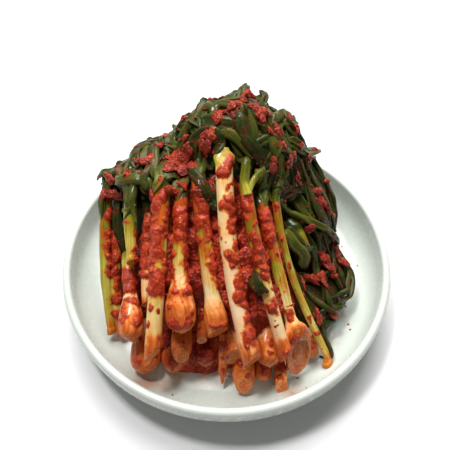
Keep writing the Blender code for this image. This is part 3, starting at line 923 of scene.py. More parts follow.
# %% Onion skin and paste as a finish
def build_onion_finish():
    """White to green by the stored number, with fibres, orange soaked in, and paste over it."""
    finish, tree, shader = new_finish("wet onion")
    place = object_place(tree)
    lane = node(tree, "ShaderNodeUVMap", uv_map="lane").outputs[0]
    fibre = use_group(tree, FIBRE_GROUP, Lane=lane, Across=1.5)
    line, broad = fibre.outputs["Line"], fibre.outputs["Broad"]
    green = plus(tree, field(tree, "green"), swing(tree, line, 0.55))
    skin = ramp(tree, green, [(0.0, (0.95, 0.81, 0.56)), (0.14, (0.94, 0.86, 0.46)),
                              (0.32, (0.66, 0.60, 0.12)), (0.52, (0.36, 0.36, 0.030)),
                              (0.72, (0.13, 0.16, 0.012)), (0.95, (0.030, 0.050, 0.007))])
    ragged = use_group(tree, RAGGED_GROUP, Amount=field(tree, "paste"), Vector=place, Ragged=0.42)
    soft = noise_at(tree, place, 330, 4)
    soaked = plus(tree, field(tree, "stain"), times(tree, ragged.outputs["Stain"], 0.75))
    streak = plus(tree, times(tree, line, 0.45), times(tree, broad, 0.75))
    soaked = times(tree, soaked, grey_ramp(tree, streak, 0.42, 0.78, 0.84, 1.14))
    soaked = times(tree, soaked, grey_ramp(tree, soft, 0.2, 0.75, 0.8, 1.15))
    warm = mix_colour(tree, 1.0, skin, (0.94, 0.37, 0.13), "MULTIPLY")
    tinted = mix_colour(tree, maths(tree, "MULTIPLY", soaked, 1.3, True), skin, warm)
    deep = mix_colour(tree, grey_ramp(tree, streak, 0.42, 0.80), (0.64, 0.125, 0.018), (0.46, 0.055, 0.008))
    tinted = mix_colour(tree, grey_ramp(tree, soaked, 0.45, 1.1, 0, 0.92), tinted, deep)
    layers = plus(tree, field(tree, "ring"), swing(tree, soft, 0.9))
    layers = ramp(tree, layers, [(0.0, (0.60, 0.16, 0.030)), (0.2, (0.46, 0.07, 0.010)),
                                 (0.34, (0.70, 0.26, 0.055)), (0.5, (0.42, 0.055, 0.008)),
                                 (0.64, (0.74, 0.36, 0.085)), (0.8, (0.50, 0.09, 0.014)),
                                 (0.93, (0.72, 0.30, 0.075))])
    cut = grey_ramp(tree, field(tree, "ring"), 0.99, 0.94)
    tinted = mix_colour(tree, times(tree, cut, 0.5), tinted, layers)
    gap, chosen = flecks_at(tree, place, 430.0, 1)
    more = plus(tree, times(tree, soft, 0.3), times(tree, ragged.outputs["Stain"], 0.45))
    dot = times(tree, grey_ramp(tree, gap, 0.26, 0.16), grey_ramp(tree, plus(tree, chosen, more), 0.93, 0.97))
    tinted = mix_colour(tree, times(tree, dot, 0.85), tinted, (0.50, 0.035, 0.012))
    paste = use_group(tree, PASTE_GROUP, Vector=place)
    mask = ragged.outputs["Mask"]
    thin = mix_colour(tree, 0.22, paste.outputs["Color"], (0.52, 0.060, 0.010))
    wet = grey_ramp(tree, line, 0.3, 0.75, 0.12, 0.30)
    rough = node(tree, "ShaderNodeMix", {0: mask, 2: wet, 3: paste.outputs["Roughness"]})
    set_shader(tree, shader, base_color=mix_colour(tree, mask, tinted, thin), roughness=rough.outputs[0],
               subsurface_weight=0.22, subsurface_radius=(1.0, 0.45, 0.2), subsurface_scale=0.0022,
               coat_weight=0.16, coat_roughness=0.06, specular_ior_level=0.2)
    thick = times(tree, plus(tree, paste.outputs["Height"], 1.6), mask)
    height = plus(tree, times(tree, line, 0.6), thick)
    set_bump(tree, shader, height, 0.6, 0.0005)
    return finish


ONION_FINISH = build_onion_finish()
print("onion finish nodes", len(ONION_FINISH.node_tree.nodes))

# %% The onions as pieces
onion_grids = {}
for seed, (name, row) in enumerate(ONIONS.items()):
    shoots = [build_shoot(*shoot, 40 + k) for k, shoot in enumerate(SHOOTS)] if name == "forked" else []
    points, quads, fields = join([build_onion(name, row, seed)] + shoots)
    onion_grids[name] = points
    make_piece("onion_whole_" + name, (points, quads, fields), ONION_FINISH, ["onion_" + name])
print("onion points", sum(len(p) for p in onion_grids.values()))

# %% [markdown]
# The bed of paste between the onions.
#
# Between the onions the paste has collected into one rough red mass that they are half sunk
# in. It is a sheet whose height follows the onions near it: at each place, the mean height of
# the onions' middles, weighted by how near each one is. In front, where the onions stick out
# like fingers, it falls away behind their root ends. Crushed chilli makes it coarse, so grains
# of two sizes are part of the mesh, not only of the shading.

# %% A closed slab
UPPER = ["outer_left", "outer_red", "round_left", "second_left", "folded_left", "slanted_cut", "round_middle",
         "flat_cut", "long_white", "forked", "olive", "hooked", "right_pale", "right_olive"]
BED_X, BED_Y = (-63, 46), (-67, 22)  # mm, left to right and front to back
BED_CELLS = (248, 200)


def slab_faces(rows, columns):
    """Quads of a grid on top, the same grid turned over below, and a strip of quads round the edge."""
    i, j = np.meshgrid(np.arange(rows - 1), np.arange(columns - 1), indexing="ij")
    a = (i * columns + j).reshape(-1)
    top = np.stack([a, a + 1, a + columns + 1, a + columns], axis=-1)
    right, left = np.arange(1, rows) * columns + columns - 1, np.arange(rows - 2, 0, -1) * columns
    back = (rows - 1) * columns + np.arange(columns - 2, -1, -1)
    rim = np.concatenate([np.arange(columns), right, back, left])
    after = np.roll(rim, -1)
    under = rows * columns
    sides = np.stack([after, rim, rim + under, after + under], axis=-1)
    return np.concatenate([top, top[:, ::-1] + under, sides])


print("faces of the bed", len(slab_faces(*BED_CELLS)))


# %% How high the bed lies
def bed_height(x, y):
    """The mean height of the onions' middles at y, weighted by exp(-(sideways gap / 4.4 mm)^2 / 2)."""
    total, weight = np.zeros_like(x), np.full_like(x, 1e-6)
    front = np.zeros_like(x)
    for name in UPPER:
        line = route_of(ONIONS[name])
        slope = (line[-1, 2] - line[-30, 2]) / (line[-1, 1] - line[-30, 1])
        z = np.interp(y, line[:, 1], line[:, 2]) + np.maximum(y - line[-1, 1], 0) * slope
        centre = np.interp(y, line[:, 1], line[:, 0])
        nearness = np.exp(-0.5 * ((x - centre) / 4.4) ** 2) + 1e-4 / (1 + (x - centre) ** 2)
        nearness = nearness * (1 if name not in ("outer_left", "hooked") else 0.5)
        total += nearness * z
        front += nearness * line[0, 1]
        weight += nearness
    return total / weight, front / weight


print("height at the middle, mm", bed_height(np.array([0.0]), np.array([-30.0]))[0].round(1))


# %% The bed's grid
def build_bed():
    """The bed's grid in mm, closed below by a plain sheet under it."""
    x, y = np.meshgrid(np.linspace(*BED_X, BED_CELLS[0]), np.linspace(*BED_Y, BED_CELLS[1]), indexing="ij")
    z, front = bed_height(x, y)
    place = np.stack([x, y, z], axis=-1)
    patchy = soft_noise(place, 9, 60)
    edge = front + 18 + 6 * (patchy - 0.5)
    edge = edge + 16 * ease(-46, -54, x)
    fall = ease(0, 9, edge - y)
    gaps = soft_noise(place, 5.5, 61)
    z = z - 0.5 + 4.0 * (patchy - 0.5) - 3.8 * ease(0.36, 0.16, gaps) - 21 * fall
    z = z - 8 * ease(-58, -63, x) - 14 * ease(38, 46, x)
    z = z - 4.5 * ease(-22, -6, y + 6 * (patchy - 0.5)) - 9 * ease(2, 18, y)
    z = z - 9 * np.exp(-(((x + 53) / 6) ** 2 + ((y + 12) / 15) ** 2))
    z = z - 16 * ease(-50, -57, x) * ease(-24, -36, y)
    z = np.maximum(z, FLOOR_Z + 1.8 + 3.0 * patchy)
    spilled = y + 61 - 0.012 * (x + 12) ** 2 + 5 * (patchy - 0.5) + 3 * (gaps - 0.5)
    z = z - (z - FLOOR_Z + 0.6) * ease(2, -2, spilled)
    place = np.stack([x, y, z], axis=-1)
    across, down = np.gradient(place, axis=0), np.gradient(place, axis=1)
    normal = unit(np.cross(across, down))
    lumps = 0.9 * grains(place, 2.7, 11) + 0.9 * grains(place, 1.4, 21) + 2.2 * soft_noise(place, 5, 25)
    top = place + normal * (lumps - 1.8)[..., None]
    low = place - [0, 0, 1] * np.clip(z - FLOOR_Z - 0.8, 0.4, 5.0)[..., None]
    step = np.clip(FLOOR_Z + WALL_CORNER - low[..., 2], 0, WALL_CORNER - 1)
    wall = FLOOR_R + np.sqrt((WALL_CORNER - 1) ** 2 - step**2) - 1.5
    for sheet in (top, low):
        sheet[..., :2] *= np.minimum(1, wall / np.hypot(sheet[..., 0], sheet[..., 1]))[..., None]
    points = np.concatenate([top.reshape(-1, 3), low.reshape(-1, 3)])
    return points, slab_faces(*x.shape), {}


bed_grid = join([build_bed()])
print("bed points", len(bed_grid[0]), "highest, mm", bed_grid[0][:, 2].max().round(1))

# %% [markdown]
# Paste as a finish.
#
# The paste group gives colour, grain and roughness, and light that enters the wet sauce comes
# out red, which is what the subsurface numbers do. The finish is made twice: the second, used for
# the paste on the leaves, is darker, with a share of dark brown mixed in in broad patches.

# %% Two paste finishes
def build_paste_finish(name, dulled):
    """Chilli paste alone: its colour, grain and wet shine, with a share of dark brown in broad patches."""
    finish, tree, shader = new_finish(name)
    place = object_place(tree)
    paste = use_group(tree, PASTE_GROUP, Vector=place)
    broad = noise_at(tree, place, 140, 3)
    # darker in broad patches by the share dulled; the second finish, for the paste on the leaves, uses it
    share = times(tree, grey_ramp(tree, broad, 0.35, 0.6, 0.25, 1.0), dulled)
    colour = mix_colour(tree, share, paste.outputs["Color"], (0.085, 0.014, 0.006))
    set_shader(tree, shader, base_color=colour, roughness=paste.outputs["Roughness"],
               subsurface_weight=0.12, subsurface_radius=(1.0, 0.2, 0.08), subsurface_scale=0.0012,
               coat_weight=0.12, coat_roughness=0.06, specular_ior_level=0.2)
    set_bump(tree, shader, paste.outputs["Height"], 0.9, 0.0007)
    return finish


PASTE_FINISH = build_paste_finish("chilli paste", 0.0)
DULL_PASTE = build_paste_finish("chilli paste on leaves", 0.42)
make_piece("paste_bed", bed_grid, PASTE_FINISH, ["leaf_heap"])
print("paste finish nodes", len(PASTE_FINISH.node_tree.nodes))

# %% [markdown]
# The heap of leaves, and how to lay one.
#
# The leaves are limp tubes that have been folded back over the onions and lie on each other in
# every direction. Placing them by simulation would take long and would not give this heap. They
# are laid one after another instead, as by hand: a map keeps, for every direction seen from a
# point inside the heap, how far out the surface now is. A leaf is a route over that map. It
# lies on the highest thing under it, smoothed along its length because it is stiffer that way,
# and then it raises the map for the next one. Below them all is a core with the heap's shape.

# %% The core under the leaves
HEART = np.array([4.0, 18.0, 24.0])
LOBE_BLEND = 0.16
LOBES = [((6, 35, 51), (37, 32, 50)), ((-37, 18, 41), (28, 34, 40)), ((-7, -15, 19), (49, 37, 35)),
         ((-9, 0, 36), (42, 30, 38)), ((35, 23, 26), (26, 37, 34)), ((48, -19, 14), (22, 31, 18))]
DISH_CLEARANCE = 1.2


def inside_lobes(p):
    """Below 0 inside the blended lobes: -blend log sum exp(-(|(p - c) / h| - 1) / blend)."""
    total = 0
    for centre, half in LOBES:
        gap = np.linalg.norm((p - np.array(centre)) / np.array(half), axis=-1) - 1
        total = total + np.exp(-gap / LOBE_BLEND)
    return -LOBE_BLEND * np.log(total)


def inside_dish(p):
    """Below 0 where food may lie: the distance past the wall's inner face or below the floor."""
    corner = WALL_CORNER - DISH_CLEARANCE
    low = np.clip(FLOOR_Z + WALL_CORNER - p[..., 2], 0, corner)
    wall = FLOOR_R + np.sqrt(corner**2 - low**2)
    return np.maximum(np.hypot(p[..., 0], p[..., 1]) - wall, FLOOR_Z + 0.5 - p[..., 2])


def reach_of(inside, ways):
    """How far out from the heart the shape reaches along each way, by halving an interval 20 times."""
    near, far = np.zeros(ways.shape[:-1]), np.full(ways.shape[:-1], 140.0)
    for _ in range(20):
        middle = (near + far) / 2
        out = inside(HEART + ways * middle[..., None]) > 0
        near, far = np.where(out, near, middle), np.where(out, middle, far)
    return (near + far) / 2


def core_reach(ways):
    """The lobes less the thickness of the laid leaves, which is larger where more of them lie."""
    thick = 8.0 + 4.0 * ease(0.2, 0.8, ways[..., 2]) * ease(-0.3, 0.2, ways[..., 1])
    return np.minimum(reach_of(inside_lobes, ways) - thick, reach_of(inside_dish, ways) - 0.5)


# %% [markdown]
# The map of the heap's surface.
#
# The map is a square table. Its middle stands for straight up and each step outwards turns the
# way by a little more than a degree, as on a flat map of the globe seen from the pole. Reading
# it blends four cells, and raising it keeps the larger value in the four cells round a point.

# %% Ways and map cells
CELL = math.radians(1.15)
HALF_CELLS = 116  # from the map's middle to its edge


def flat_place(ways):
    """A way's place on the flat map: its angle from straight up, in its compass direction."""
    tilt = np.arccos(np.clip(ways[..., 2], -1, 1))
    stretch = tilt / np.maximum(np.sin(tilt), 1e-4)
    return ways[..., :2] * stretch[..., None] / CELL + HALF_CELLS


def map_ways():
    """The way that each cell of the map stands for."""
    u, v = np.meshgrid(np.arange(2 * HALF_CELLS + 1), np.arange(2 * HALF_CELLS + 1), indexing="ij")
    flat = (np.stack([u, v], axis=-1) - HALF_CELLS) * CELL
    tilt = np.minimum(np.linalg.norm(flat, axis=-1), math.pi - 0.05)
    level = flat * (np.sin(tilt) / np.maximum(tilt, 1e-6))[..., None]
    return np.concatenate([level, np.cos(tilt)[..., None]], axis=-1)


WAYS = map_ways()
LIMIT = reach_of(inside_dish, WAYS) - 0.6
TARGET = np.minimum(reach_of(inside_lobes, WAYS) + 3.5 * ease(0.45, 0.85, WAYS[..., 0]), LIMIT)
surface = core_reach(WAYS)


def read_map(grid, ways):
    """The map's value along each way, blended from the four cells round it."""
    place = np.clip(flat_place(ways), 0, 2 * HALF_CELLS - 0.01)
    cell = np.floor(place).astype(int)
    f = place - cell
    a, b = cell[..., 0], cell[..., 1]
    low = grid[a, b] * (1 - f[..., 1]) + grid[a, b + 1] * f[..., 1]
    high = grid[a + 1, b] * (1 - f[..., 1]) + grid[a + 1, b + 1] * f[..., 1]
    return low * (1 - f[..., 0]) + high * f[..., 0]


def raise_map(points, grid):
    """The map is raised to each of the points, in the four cells round it."""
    v = points - HEART
    reach = np.linalg.norm(v, axis=-1)
    place = flat_place(v / reach[:, None])
    keep = (place.min(axis=1) > 1) & (place.max(axis=1) < 2 * HALF_CELLS - 1)
    cell, reach = np.floor(place[keep]).astype(int), reach[keep]
    for step in np.ndindex(2, 2):
        np.maximum.at(grid, (cell[:, 0] + step[0], cell[:, 1] + step[1]), reach)


raise_map(bed_grid[0], surface)
print("map cells", surface.size, "from", round(surface.min(), 1), "to", round(surface.max(), 1), "mm")


# %% [markdown]
# Laying one leaf.
#
# A wilted scallion leaf is a tube with nearly no air left in it: flat, creased down its middle,
# with edges that curl, and soft enough to rest on whatever is under it. So its centre line is
# read from the map, its slope across from the map at its two edges, and its section is a
# flattened oval. A cloth simulation would also fold such a leaf, but not where it is wanted.

# %% Ways, smoothing and a leaf's section
def way(lon, lat):
    """Straight up is (0, 0); lon turns it to the right and lat to the back, in degrees."""
    lon, lat = np.radians(lon), np.radians(lat)
    return np.stack([np.cos(lat) * np.sin(lon), np.sin(lat), np.cos(lat) * np.cos(lon)], axis=-1)


def smoothed(values, width):
    """Each value as the mean of its neighbours, weighted by exp(-(steps / width)^2 / 2)."""
    reach = int(3 * width) + 1
    weight = np.exp(-0.5 * (np.arange(-reach, reach + 1) / width) ** 2)
    padded = np.pad(values, reach, mode="edge")
    return np.convolve(padded, weight / weight.sum(), mode="valid")


SECTION = 16  # points round a leaf
STEP = 1.3  # mm between its stations
PRESSED = 7.0  # mm under the heap's outline from which the leaves are pressed together


def leaf_section(a, width, thick, crease, curl):
    """A flattened tube: (w/2 cos a, t/2 sin a), a crease down its middle and edges that curl."""
    x = np.sign(np.cos(a)) * np.abs(np.cos(a)) ** 0.9 * width / 2
    share = x / (width / 2)
    y = np.sin(a) * thick / 2 - crease * np.exp(-((share - 0.1) / 0.28) ** 2) + curl * share**2
    return x, y


def fullness(share, length, width, ends):
    """The leaf's width along its length, as a share of its full width: each end is thin, blunt or cut."""
    full = np.ones(len(share))
    for near, kind in ((share * length, ends[0]), ((1 - share) * length, ends[1])):
        if kind == "thin":
            full *= 0.16 + 0.84 * ease(0, 0.30 * length, near)
        elif kind == "blunt":
            full *= 0.35 + 0.65 * np.sqrt(np.clip(near / (0.42 * width), 0, 1))
        elif kind == "cut":
            full *= 0.92 + 0.08 * ease(0, 2, near)
    return full


def noise_along(run, shift, size, seed):
    """Soft noise read along a line, shifted so that each leaf gets its own stretch of it."""
    return soft_noise(np.stack([run, 0 * run + shift, 0 * run], axis=-1), size, seed)


print("a thin end starts at", fullness(np.array([0.0, 0.5]), 40, 6, ("thin", "cut")).round(2))


# %% The way of a leaf, and what it rests on
def leaf_ways(ways, wave, rng):
    """Ways at even steps along the leaf, swayed sideways by wave sin(run / 9 + phase), and its length."""
    dense = unit(smooth_line(np.asarray(ways) * 60, 1.5))
    line = HEART + dense * read_map(surface, dense)[:, None]
    length = along(line)[-1]
    count = max(8, int(length / STEP))
    dense = unit(resample(line, np.linspace(0, length, count)) - HEART)
    if wave:
        sway = np.cross(dense, unit(np.gradient(dense, axis=0)))
        phase = rng.random() * 6
        dense = unit(dense + sway * (wave * np.sin(np.linspace(0, length / 9, count) + phase) / 60)[:, None])
    return dense, length


def rest_on_map(line, side, wide, stiff):
    """The height under the leaf, read at five places across it, and its slope, both smoothed along."""
    offsets = np.array([-0.5, -0.25, 0, 0.25, 0.5])
    sampled = unit(line[:, None] + side[:, None] * (offsets * wide[:, None])[..., None] - HEART)
    heights = read_map(surface, sampled)
    mean = 0.5 * heights.mean(axis=1) + 0.5 * heights.max(axis=1)
    slope = np.clip((heights[:, 3:].mean(axis=1) - heights[:, :2].mean(axis=1)) / (0.75 * wide), -0.8, 0.8)
    mean = np.maximum(smoothed(mean, stiff), smoothed(heights.min(axis=1), 0.8))
    return mean, smoothed(slope, stiff)


arc_ways = way(np.array([0, 15, 30]), np.zeros(3))
print("30 degrees of the heap are", leaf_ways(arc_ways, 0, None)[1].round(1), "mm")


# %% One leaf
def lay_leaf(ways, width, thick, seed, shade, ends=("thin", "thin"), lift=0.0, room=4.0, twist=0.3,
             stiff=2.4, wave=0.0, turns=False, paler=0.0, tip=0.0):
    """One leaf along a route of ways: its grid, and the map raised by it.

    Its centre is at the map's height, smoothed along, plus half its thickness. Near the heap's
    outline that height is pressed: start + room (1 - exp(-above / room)). Its slope across is
    that of the map between its two edges. Its colour starts paler and gives that up by exp(-run / 11).
    """
    rng = np.random.default_rng(seed)
    dense, length = leaf_ways(ways, wave, rng)
    count = len(dense)
    line = HEART + dense * smoothed(read_map(surface, dense), 2)[:, None]
    side = unit(np.cross(unit(np.gradient(line, axis=0)), dense))
    share = np.linspace(0, 1, count)
    from_ends = np.minimum(share, 1 - share) * length
    full = fullness(share, length, width, ends)
    bend = noise_along(share * length, seed * 7.3, 13, 4) - 0.5
    wide = width * full * (1 + 0.35 * bend)
    mean, slope = rest_on_map(line, side, wide, stiff)
    plump = thick * (0.45 + 0.55 * full) * (1 + 0.3 * bend)
    rise = mean + 0.42 * plump
    start = read_map(TARGET, dense) - PRESSED
    above = np.maximum(rise - start, 0)
    pressed = start + room * (1 - np.exp(-above / room))
    rise = np.where(rise > start, pressed, rise) + lift * ease(0, 9, from_ends) + tip * ease(0.45, 1.0, share)
    rise = np.minimum(rise, read_map(LIMIT, dense) - 0.5 * plump - 0.35 * np.abs(slope) * wide)
    line = HEART + dense * rise[:, None]
    tangent = unit(np.gradient(line, axis=0))
    side = unit(np.cross(tangent, dense))
    out = np.cross(side, tangent)
    roll = np.arctan(slope) + twist * 2 * (noise_along(share * length, seed, 16, 9) - 0.5)
    if turns:
        where = rng.uniform(0.25, 0.75) * length
        turned_over = math.pi * ease(where - 5, where + 5, share * length) * rng.choice([-1, 1])
        line = line + dense * (np.abs(np.sin(turned_over)) * 0.3 * wide)[:, None]
        roll = roll + turned_over
    across = side * np.cos(roll)[:, None] + out * np.sin(roll)[:, None]
    out = out * np.cos(roll)[:, None] - side * np.sin(roll)[:, None]
    a = np.arange(SECTION) / SECTION * 2 * np.pi
    crease = rng.uniform(0.1, 0.7) * thick * full[:, None]
    curl = rng.uniform(-0.7, 0.45) * thick * full[:, None]
    x, y = leaf_section(a[None, :], wide[:, None], plump[:, None], crease, curl)
    run = (share * length)[:, None] + 0 * a
    wrinkle = soft_noise(np.stack([x, run * 0.18, 0 * x + seed], -1), 1.1, 2) - 0.5
    dent = soft_noise(np.stack([x * 0.7, run, 0 * x + seed * 3.1], -1), 4.5, 3) - 0.5
    y = y + (0.75 * wrinkle + 0.9 * dent) * full[:, None] * np.abs(np.sin(a)) ** 0.5
    points = line[:, None] + x[..., None] * across[:, None] + y[..., None] * out[:, None]
    points = points.reshape(-1, 3)
    raise_map(points, surface)
    lane = girth_map(a[None, :], wide[:, None] * 0.45, run.ravel() + 53.0 * seed)
    shades = shade + paler * np.exp(-run.ravel() / 11) + 0.12 * (soft_noise(points, 14, 70) - 0.5)
    return points, tube_faces(count, SECTION), {"shade": shades, "lane": lane}


print("stations on a leaf of 60 mm:", int(60 / STEP))

# %% [markdown]
# Laying the heap.
#
# The heap is laid from below to above, as it was on the plate. First come flat strands that lie
# between the onions. Then the map is raised to the onions, and each long stem goes over into
# two leaves of its own, paler where they leave it, so that no stem ends in the open.

# %% Ways and routes
def towards(azimuth, rise):
    """A way given by its compass direction (0 right, 90 back) and its angle above level, in degrees."""
    azimuth, rise = np.radians(azimuth), np.radians(rise)
    return np.array([np.cos(rise) * np.cos(azimuth), np.cos(rise) * np.sin(azimuth), np.sin(rise)])


def swept(start, end, bow, count=6):
    """Ways from start to end, pushed sideways by bow times sin(pi t) in the middle."""
    t = np.linspace(0, 1, count)[:, None]
    sideways = unit(np.cross(start, end))
    return unit(start * (1 - t) + end * t + sideways * bow * np.sin(np.pi * t))


GOLDEN = 0.618034  # steps of this share of a range never bunch up
leaves = {"right": [], "back": [], "left": [], "front": [], "over": []}
print("half way up at the back:", towards(90, 45).round(2))

# %% Strands between the onions
# lon and lat of both ends, and width
BETWEEN = [(-53, 4, -58, -20, 5), (-48, 2, -50, -16, 5), (-40, 4, -44, -14, 4.5),
           (-35, 3, -37, -18, 4.5), (-27, 2, -29, -20, 5), (-24, 4, -25, -16, 4),
           (-17, 0, -16, -24, 5.5), (-13, 2, -11, -27, 6.5), (-9, 0, -6, -22, 4.5), (1, 2, 4, -14, 5),
           (6, 0, 10, -16, 4.5), (13, -2, 17, -22, 4.5), (18, -4, 24, -26, 4.5), (22, -6, 30, -30, 5),
           (-62, 4, -76, -26, 5.5), (-66, 6, -84, -22, 5), (-70, 4, -92, -28, 5.5),
           (-72, 8, -98, -20, 5), (-60, 0, -84, -34, 5), (-75, 2, -104, -26, 5),
           (-58, -6, -90, -38, 5.5), (-64, -4, -98, -36, 5)]
# the strands beside the onion at the far left lie high enough to close the gap there
GAP_REACH = 68  # mm
gap_ways = way(*np.meshgrid(np.arange(-72, -58, 0.5), np.arange(-12, 6, 0.5))).reshape(-1, 3)
raise_map(HEART + GAP_REACH * gap_ways, surface)
for k, (lon, lat, lon_end, lat_end, width) in enumerate(BETWEEN):
    ways = swept(way(lon, lat + 8), way(lon_end, lat_end), 0.03 * (-1) ** k)
    shade = 0.04 + 0.05 * (k % 3)
    leaves["front"].append(lay_leaf(ways, width, 2.0, 600 + k, shade, ("thin", "blunt"), room=9, wave=0.8))
for grid in onion_grids.values():
    raise_map(grid, surface)
    raise_map(grid, TARGET)
print("strands between the onions", len(BETWEEN))

# %% Each stem goes over into leaves
# where its two leaves end as lon and lat, then width, thickness, shade, paler
SHEATHS = {"outer_left": (-66, 9, -58, 16, 6.5, 2.6, 0.25, 0.45),
           "outer_red": (-56, 12, -50, 14, 6, 2.6, 0.2, 0.4),
           "second_left": (-42, 10, -36, 12, 6, 2.6, 0.2, 0.4),
           "folded_left": (-45, 10, -52, 8, 6.5, 2.6, 0.22, 0.5),
           "slanted_cut": (-30, 12, -36, 10, 7.5, 3.0, 0.25, 0.4),
           "round_middle": (-24, 8, -17, 10, 6.5, 2.8, 0.22, 0.4),
           "flat_cut": (-16, 12, -8, 14, 6.5, 2.8, 0.2, 0.35),
           "olive": (12, 2, 19, 3, 5.5, 2.6, 0.25, 0.45),
           "hooked": (19, 8, 26, 6, 4.5, 2.6, 0.3, 0.4)}
for k, (name, (lon, lat, lon_other, lat_other, width, thick, shade, paler)) in enumerate(SHEATHS.items()):
    line = route_of(ONIONS[name])
    near, head = unit(line[-10] - HEART), unit(line[-1] - HEART)
    for turn, end in enumerate((way(lon, lat), way(lon_other, lat_other))):
        ways = [near, head, unit(0.6 * head + 0.4 * end), end]
        leaves["front"].append(lay_leaf(ways, width * (0.85 - 0.15 * turn), thick, 650 + 2 * k + turn, shade,
                                        lift=0.3 + 0.4 * turn, room=12, stiff=1.6, paler=paler))
print("leaves from stems", 2 * len(SHEATHS))

# %% [markdown]
# Leaves that hang, fold over and cross.
#
# These make the bulk: limp strands that start near the crown and hang down to the dish on the
# right, behind and on the left, shorter ones that are folded over in front and end above the
# onions, and some that lie across the others. Their places are spread by steps of the golden
# share, which cover a range evenly without a visible order, and the rest about them is drawn at
# random between limits. A list of 326 routes would say no more.

# %% Hanging leaves
rng = np.random.default_rng(12)
HANGING = 230
for k in range(HANGING):
    azimuth = -40 + 218 * ((k * GOLDEN) % 1.0)
    region = "right" if azimuth < 42 else "back" if azimuth < 128 else "left"
    aside = 50 * math.cos(math.radians(azimuth)) * rng.uniform(0.1, 1)
    top = way(-22 + aside + 20 * rng.uniform(0, 1), rng.uniform(9, 40))
    foot = towards(azimuth + rng.uniform(-6, 6), rng.uniform(-24, 8) if k % 3 else rng.uniform(5, 35))
    ways = swept(top, foot, rng.uniform(-0.10, 0.10))
    width, thick, shade = rng.uniform(2.8, 6.2), rng.uniform(1.3, 2.3), rng.uniform(0.02, 0.30)
    ends = ("blunt", "thin" if k % 4 else "blunt")
    room = 2.5 if k < 0.55 * HANGING else 6.5
    leaves[region].append(lay_leaf(ways, width, thick, 100 + k, shade, ends, 0, room, 0.5,
                                   wave=rng.uniform(0, 1.4), turns=k % 4 == 1))
print({region: len(laid) for region, laid in leaves.items()})


# %% Folded and crossing leaves
def brow(lon):
    """How far forward the leaves in front reach, as a latitude: they leave the tallest onions free."""
    return float(np.interp(lon, [-62, -47, -36, -30, -24, -17, -10, -6, -1, 4, 8, 16, 24, 32],
                           [-1, -9, -14, -12, -15, -12, -6, 2, 3, -3, -8, -12, -14, -14]))


FOLDED, CROSSING = 56, 40
for k in range(FOLDED):
    lon = -60 + 92 * ((k * GOLDEN) % 1.0)
    tip = way(lon + rng.uniform(-4, 4), brow(lon) + rng.uniform(-2, 6))
    back = way(lon * 0.7 + rng.uniform(-14, 14), rng.uniform(18, 38))
    ways = swept(back, tip, rng.uniform(-0.1, 0.1))
    width, thick, shade = rng.uniform(3, 6.5), rng.uniform(1.5, 2.6), rng.uniform(0.05, 0.4)
    leaves["front"].append(lay_leaf(ways, width, thick, 400 + k, shade, ("thin", "blunt"), 0,
                                    5.0 if k < 30 else 8.5, 0.5, wave=rng.uniform(0, 1.2), turns=k % 3 == 1))
for k in range(CROSSING):
    lon = -54 + 90 * ((k * GOLDEN) % 1.0)
    lat = brow(lon) + 5 + 30 * ((k * (1 - GOLDEN)) % 1.0)
    heading, half = rng.uniform(0, math.pi), rng.uniform(6, 15)
    step = half * np.array([math.cos(heading), math.sin(heading)])
    start, end = (way(a, max(b, brow(a) + 1)) for a, b in ((lon, lat) - step, (lon, lat) + step))
    ways = swept(start, end, rng.uniform(-0.12, 0.12))
    width, thick, shade = rng.uniform(3.2, 6.5), rng.uniform(1.8, 3.2), rng.uniform(0.06, 0.42)
    lift = rng.uniform(0.4, 1.6)
    leaves["front"].append(lay_leaf(ways, width, thick, 460 + k, shade, ("blunt", "thin"), lift, 9.5, 0.4,
                                    wave=rng.uniform(0, 0.8), turns=k % 3 == 0))
print({region: len(laid) for region, laid in leaves.items()})

# %% [markdown]
# The leaves that lie on top.
#
# These are the leaves that anyone would notice, so each has its own route, in the order in which
# they lie on each other. They are pressed less than the rest, because nothing lies on them.

